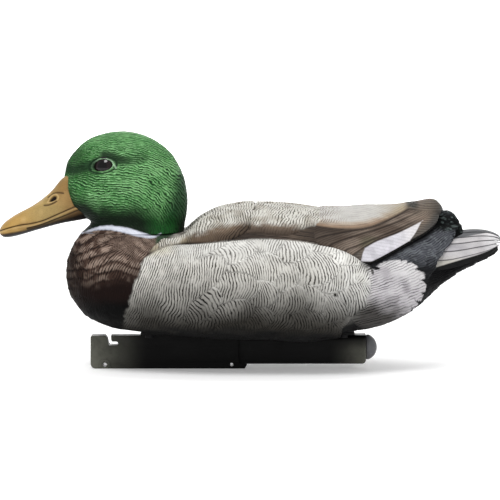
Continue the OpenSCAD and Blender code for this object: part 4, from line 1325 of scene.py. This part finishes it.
def make_eye(side, name, node, material):
    """Domed glass button, turned about the eye's axis."""
    middle, axis = eye_frame(side)
    up = Vector((0, 0, 1)) - axis * axis.z
    up.normalize()
    ahead = axis.cross(up)
    turns = np.linspace(0.002, 1, 44) * math.asin(EYE_R / EYE_DOME)
    radii = np.concatenate([np.sin(turns) * EYE_DOME, [EYE_R, EYE_R - 0.2, 0.05]])
    out = 2.3 - EYE_DOME + np.sqrt(EYE_DOME ** 2 - np.minimum(radii, EYE_R) ** 2)
    out[-3:] = (-0.9, -5.3, -5.4)
    turn = np.linspace(0, 2 * math.pi, 96, endpoint=False)
    points = (np.array(middle)[None, None, :]
              + radii[:, None, None] * (np.cos(turn)[None, :, None] * np.array(ahead)
                                        + np.sin(turn)[None, :, None] * np.array(up))
              + out[:, None, None] * np.array(axis))
    mesh = grid_mesh(name, points)
    paint(mesh, ring=np.repeat(radii / EYE_R, len(turn)))
    return new_object(name, mesh, material, "head", "eye_glass", node)


# ---- Keel ------------------------------------------------------------------------------------

BLADE_HALF = 7.0              # half the blade's thickness
HOUSING_TOP = 28.3
HOUSING_HALF = 12.5

def arc(cx, cz, r, start, end, steps=10):
    """Points round a corner, angles in degrees."""
    a = np.radians(np.linspace(start, end, steps))
    return [(cx + r * math.cos(t), cz + r * math.sin(t)) for t in a]


def curve_plate(name, loops, half, bevel, material, body, slot, *nodes, z=None):
    """Plate in the X-Z plane from outlines (the first is the outside), with rounded edges."""
    curve = bpy.data.curves.new(name, "CURVE")
    curve.dimensions = "2D"
    curve.fill_mode = "BOTH"
    curve.extrude = (half - bevel) * MM
    curve.bevel_depth = bevel * MM
    curve.bevel_resolution = 3
    curve.offset = -bevel * MM
    for loop in loops:
        spline_data = curve.splines.new("POLY")
        spline_data.points.add(len(loop) - 1)
        for point, (x, y) in zip(spline_data.points, loop):
            point.co = (x * MM, y * MM, 0, 1)
        spline_data.use_cyclic_u = True
    holder = bpy.data.objects.new(name, curve)
    bpy.context.scene.collection.objects.link(holder)
    bpy.context.view_layer.update()
    mesh = bpy.data.meshes.new_from_object(holder.evaluated_get(bpy.context.evaluated_depsgraph_get()))
    bpy.data.objects.remove(holder)
    mesh.name = name
    co = np.zeros(len(mesh.vertices) * 3)
    mesh.vertices.foreach_get("co", co)
    co = co.reshape(-1, 3)
    if z is None:
        co = np.stack([co[:, 0], -co[:, 2], co[:, 1]], axis=-1)
    else:
        co = np.stack([co[:, 0], co[:, 1], co[:, 2] + z * MM], axis=-1)
    mesh.vertices.foreach_set("co", co.ravel())
    weld(mesh)
    mesh.materials.clear()
    return new_object(name, mesh, material, body, slot, *nodes)


def weld(mesh, angle=40):
    """Joins doubled points, drops doubled faces and smooths the rounded edges only."""
    work = bmesh.new()
    work.from_mesh(mesh)
    bmesh.ops.remove_doubles(work, verts=work.verts, dist=0.00001)
    bmesh.ops.recalc_face_normals(work, faces=work.faces)
    for face in work.faces:
        face.smooth = True
    for edge in work.edges:
        edge.smooth = len(edge.link_faces) == 2 and edge.calc_face_angle(0) < math.radians(angle)
    work.to_mesh(mesh)
    work.free()
    mesh.update()


def circle(cx, cz, r, steps=40):
    return arc(cx, cz, r, 360, 360 / steps, steps)


def blade_loop():
    """Front blade with its leaning slot, the pedestal along its top and the step to the housing."""
    low, high = 4.2, 1.8
    slot = [(-121.6, 27.8), (-119.9, 25.2), (-119.0, 21.0)]
    slot += arc(-117.4, 21.2, 1.6, 200, 270, 6) + arc(-112.4, 21.2, 1.6, -90, 90, 12)
    slot += [(-115.7, 22.8), (-116.4, 23.6), (-116.7, 25.2), (-116.8, 27.8)]
    loop = arc(-134 + low, low, low, 180, 270)
    loop += [(-4.4, 0.0), (-2.6, 3.2), (-2.6, 12.0), (88, 12.0), (88, 29.8), (-92, 29.8), (-92, 27.8)]
    return loop + slot[::-1] + arc(-134 + high, 27.8 - high, high, 90, 180)


def make_keel(plastic, rubber):
    """Blade, raised eyes round its front hole, ballast housing, mounting plate and sealing pad."""
    front_hole = circle(-122, 3.1, 1.8)
    rear_hole = circle(-15.4, 3.4, 1.5)
    curve_plate("keel_blade", [blade_loop(), front_hole, rear_hole], BLADE_HALF, 0.5, plastic, "hull",
                "keel_plastic", "keel_shell")
    # raised eye round the front hole, on each side of the blade
    arch = arc(-122, 3.4, 4.6, 0, 180, 24) + [(-126.6, 1.2), (-125.0, 1.2)]
    arch += arc(-122, 3.4, 3.0, 180, 0, 20) + [(-119.0, 1.2), (-117.4, 1.2)]
    for side, label in SIDES:
        rib = curve_plate(f"hole_boss_{label}", [arch], 0.9, 0.3, plastic, "hull",
                          "keel_plastic", "keel_shell")
        rib.data.transform(Matrix.Translation((0, side * BLADE_HALF * MM, 0)))
    make_housing(plastic)
    plate = rounded([(-91.2, -20.4), (-91.2, 20.4), (87.2, 20.4), (87.2, -20.4)], 3.0)
    curve_plate("mounting_plate", [plate], 1.45, 0.4, plastic, "hull", "keel_plastic", "keel_plate", z=31.3)
    curve_plate("sealing_pad", [plate], 0.55, 0.15, rubber, "hull", "seal_rubber", "keel_gasket", z=33.3)


def rounded(corners, r, steps=6):
    """Polygon with its corners rounded to radius r."""
    points = []
    n = len(corners)
    for k in range(n):
        here = Vector(corners[k])
        before = (Vector(corners[k - 1]) - here).normalized()
        after = (Vector(corners[(k + 1) % n]) - here).normalized()
        for step in range(steps + 1):
            t = step / steps
            a, b = here + before * r, here + after * r
            points.append(tuple(a * (1 - t) ** 2 + here * 2 * t * (1 - t) + b * t * t))
    return points


def make_housing(plastic):
    """Ballast housing: a rounded bar that narrows into the blade at its front."""
    profile = rounded([(-HOUSING_HALF, HOUSING_TOP), (-HOUSING_HALF, 4.3), (HOUSING_HALF, 4.3),
                       (HOUSING_HALF, HOUSING_TOP)], 4.6, 8)
    stations = [(-10, 0.56), (-9.6, 0.60), (-7, 0.78), (-4, 0.95), (-2, 0.99), (0, 1.0)] + [
        (x, 1.0) for x in range(4, 92, 4)] + [(93.5, 1.0), (95.3, 0.99),
                                              (96.6, 0.955), (97.3, 0.90), (97.4, 0.86)]
    rings = []
    for x, share in stations:
        lower = 1 if x < 50 else share
        rings.append([(x, y * share, HOUSING_TOP + (z - HOUSING_TOP) * lower) for y, z in profile])
    mesh = grid_mesh("ballast_housing", np.array(rings))
    return new_object("ballast_housing", mesh, plastic, "hull", "keel_plastic", "keel_shell")


def lathe(name, profile, centre, material, body, slot, *nodes, steps=72):
    """Solid turned about the X axis from (x, radius) points."""
    turn = np.linspace(0, 2 * math.pi, steps, endpoint=False)
    rings = [[(centre[0] + x, centre[1] + r * math.cos(t), centre[2] + r * math.sin(t)) for t in turn]
             for x, r in profile]
    mesh = grid_mesh(name, np.array(rings))
    weld(mesh)
    return new_object(name, mesh, material, body, slot, *nodes)


def make_plug(plastic):
    """Ballast plug: grooved spigot, flange and rounded end."""
    dome = [(2.0 - 4.2 + 11.4 * math.cos(t), 11.4 * math.sin(t)) for t in np.linspace(1.18, 0.004, 26)]
    spigot = [(-12, 0.05), (-12, 8.4), (-11.4, 9.1), (-8.1, 9.12), (-8.0, 7.6), (-5.5, 7.6), (-5.4, 9.12)]
    flange = [(0, 9.12), (0.02, 10.1), (0.4, 10.5), (1.7, 10.55)]
    lathe("ballast_cap", spigot + flange + dome, (97.7, 0, 17.6), plastic,
          "plug", "keel_plastic", "ballast_plug")


# ---- Parts kept from the CAD -----------------------------------------------------------------


def dress_inner_parts():
    """Materials for the carried-over CAD nodes."""
    socket = moulded_plastic("socket_plastic", srgb(40, 40, 38), srgb(66, 66, 62))
    ring = moulded_plastic("ring_plastic", srgb(200, 196, 184), srgb(226, 222, 210))
    rubber = moulded_plastic("dark_rubber", srgb(18, 18, 18), srgb(38, 38, 36), (0.6, 0.8))
    steel = bare_metal("zinc_steel", srgb(186, 188, 190))
    black_screws = moulded_plastic("blackened_steel", srgb(9, 9, 10), srgb(22, 22, 23), (0.4, 0.6),
                                   specular=0.1)
    washer = bare_metal("washer_steel", srgb(150, 154, 158), (0.35, 0.5))
    brass = bare_metal("insert_brass", srgb(198, 156, 78))
    iron = bare_metal("ballast_iron", srgb(104, 104, 106), (0.5, 0.7))
    finishes = {
        "neck_socket": socket, "neck_adapter": socket, "vent_plug": rubber, "keel_inserts": brass,
        "keel_screws": black_screws, "adapter_screws": steel, "ballast_bar": iron, "ballast_pad": rubber,
        "swivel_o_ring": rubber, "friction_washer": washer, "lock_ring": ring, "plug_o_ring": rubber}
    for node, material in finishes.items():
        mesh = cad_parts[node].data
        mesh.materials.clear()
        mesh.materials.append(material)


# ---- Stage -----------------------------------------------------------------------------------


def make_stage():
    """Pale floor that curves up into a backdrop and glows a little, a soft key light and a white surround.
    """
    flat_end, bend = 3.6, 1.2
    profile = [(-6.0, 0.0), (flat_end, 0.0)]
    profile += [(flat_end + bend * math.sin(t), bend - bend * math.cos(t))
                for t in np.linspace(0.05, math.pi / 2, 20)]
    profile += [(flat_end + bend, 5.0)]
    verts = [(x, y, z) for x in (-7.0, 7.0) for y, z in profile]
    n = len(profile)
    faces = [(k, n + k, n + k + 1, k + 1) for k in range(n - 1)]
    mesh = bpy.data.meshes.new("backdrop")
    mesh.from_pydata(verts, [], faces)
    for polygon in mesh.polygons:
        polygon.use_smooth = True
    # the floor glows a little, more further from the decoy, which lifts the decoy's shadow and whitens the
    # far floor
    m = Nodes("glowing_backdrop_paper")
    cloud = m.smooth(m.grain(400.0, 2.0), 0.3, 0.7, 0.0, 1.0)
    place = m.add("TexCoord").outputs["Object"]
    away = m.add("VectorMath", {0: place}, operation="LENGTH").outputs["Value"]
    mesh.materials.append(m.finish(
        Base_Color=m.blend_colour(cloud, (0.90, 0.90, 0.90, 1), (0.92, 0.92, 0.92, 1)), Roughness=0.95,
        Specular_IOR_Level=0.0, Emission_Color=(1.0, 1.0, 1.0, 1),
        Emission_Strength=m.smooth(away, 0.5, 2.0, 0.2, 0.55)))
    floor = bpy.data.objects.new("backdrop", mesh)
    bpy.context.scene.collection.objects.link(floor)

    world = bpy.data.worlds.new("surround")
    world.use_nodes = True
    background = world.node_tree.nodes["Background"]
    background.inputs["Color"].default_value = (1.0, 1.0, 1.0, 1.0)
    background.inputs["Strength"].default_value = 0.62
    bpy.context.scene.world = world
    for name, place, aim, size, power in (
            ("backdrop", (0.0, 3.3, 2.6), (0.0, 4.8, 0.9), 2.4, 60.0),
            ("key", (-0.55, -1.3, 1.75), (0.0, 0.0, 0.10), 0.8, 25.0),
            ("top", (0.25, 0.35, 2.0), (0.0, 0.0, 0.10), 1.6, 16.0),
            ("fill", (1.3, -1.5, 0.7), (0.05, 0.0, 0.09), 1.2, 9.0)):
        light = bpy.data.lights.new(name, "AREA")
        light.shape = "DISK"
        light.size = size
        light.energy = power
        if name == "backdrop":
            light.spread = math.radians(90)
        lamp = bpy.data.objects.new(name, light)
        lamp.location = place
        lamp.rotation_euler = (Vector(aim) - Vector(place)).to_track_quat("-Z", "Y").to_euler()
        bpy.context.scene.collection.objects.link(lamp)


def make_camera():
    """Long lens, level with the water line and a little above."""
    camera = bpy.data.cameras.new("camera")
    camera.lens = 200
    camera.sensor_width = 36
    camera.clip_end = 20
    eye = bpy.data.objects.new("camera", camera)
    target = Vector((0.0, 0.0, MIDDLE_Z * MM))
    away = SIDE_DISTANCE * MM
    eye.location = target + Vector((0, -away * math.cos(SIDE_TILT), away * math.sin(SIDE_TILT)))
    eye.rotation_euler = (target - eye.location).to_track_quat("-Z", "Y").to_euler()
    bpy.context.scene.collection.objects.link(eye)
    bpy.context.scene.camera = eye
    view = bpy.context.scene.view_settings
    view.view_transform = "Standard"
    view.look = "None"


# ---- Build -----------------------------------------------------------------------------------

plumage = painted_feathers("painted_body")
tail_paint = painted_feathers("painted_tail", specular=0.15, line_width=0.4)
head_finish = painted_feathers("painted_head", (0.45, 0.68), 0.09, 0.62)
bill_finish = painted_feathers("painted_bill", (0.42, 0.6), 0.14, 0.3)
# the keel's two ends get a painted reflection in this lighter grey
keel_finish = moulded_plastic("black_plastic", srgb(6, 6, 6), srgb(15, 15, 15), end_sheen=srgb(90, 90, 82),
                              specular=0.08)
# painted reflection: the plug is painted light grey for the sheen it shows
plug_finish = moulded_plastic("plug_plastic", srgb(80, 80, 82), srgb(112, 112, 115), specular=0.15)
gasket_finish = moulded_plastic("pad_rubber", srgb(20, 20, 20), srgb(40, 40, 38), (0.6, 0.8))
eye_finish = glass_eye()

make_body(plumage)
for side, label in SIDES:
    make_wing(side, f"wing_{label}", plumage)
make_tail(tail_paint)
make_head(head_finish)
make_bill(bill_finish)
for side, label in SIDES:
    make_eye(side, f"glass_eye_{label}", f"eye_{label}", eye_finish)
make_keel(keel_finish, gasket_finish)
make_plug(plug_finish)
dress_inner_parts()
make_stage()
make_camera()
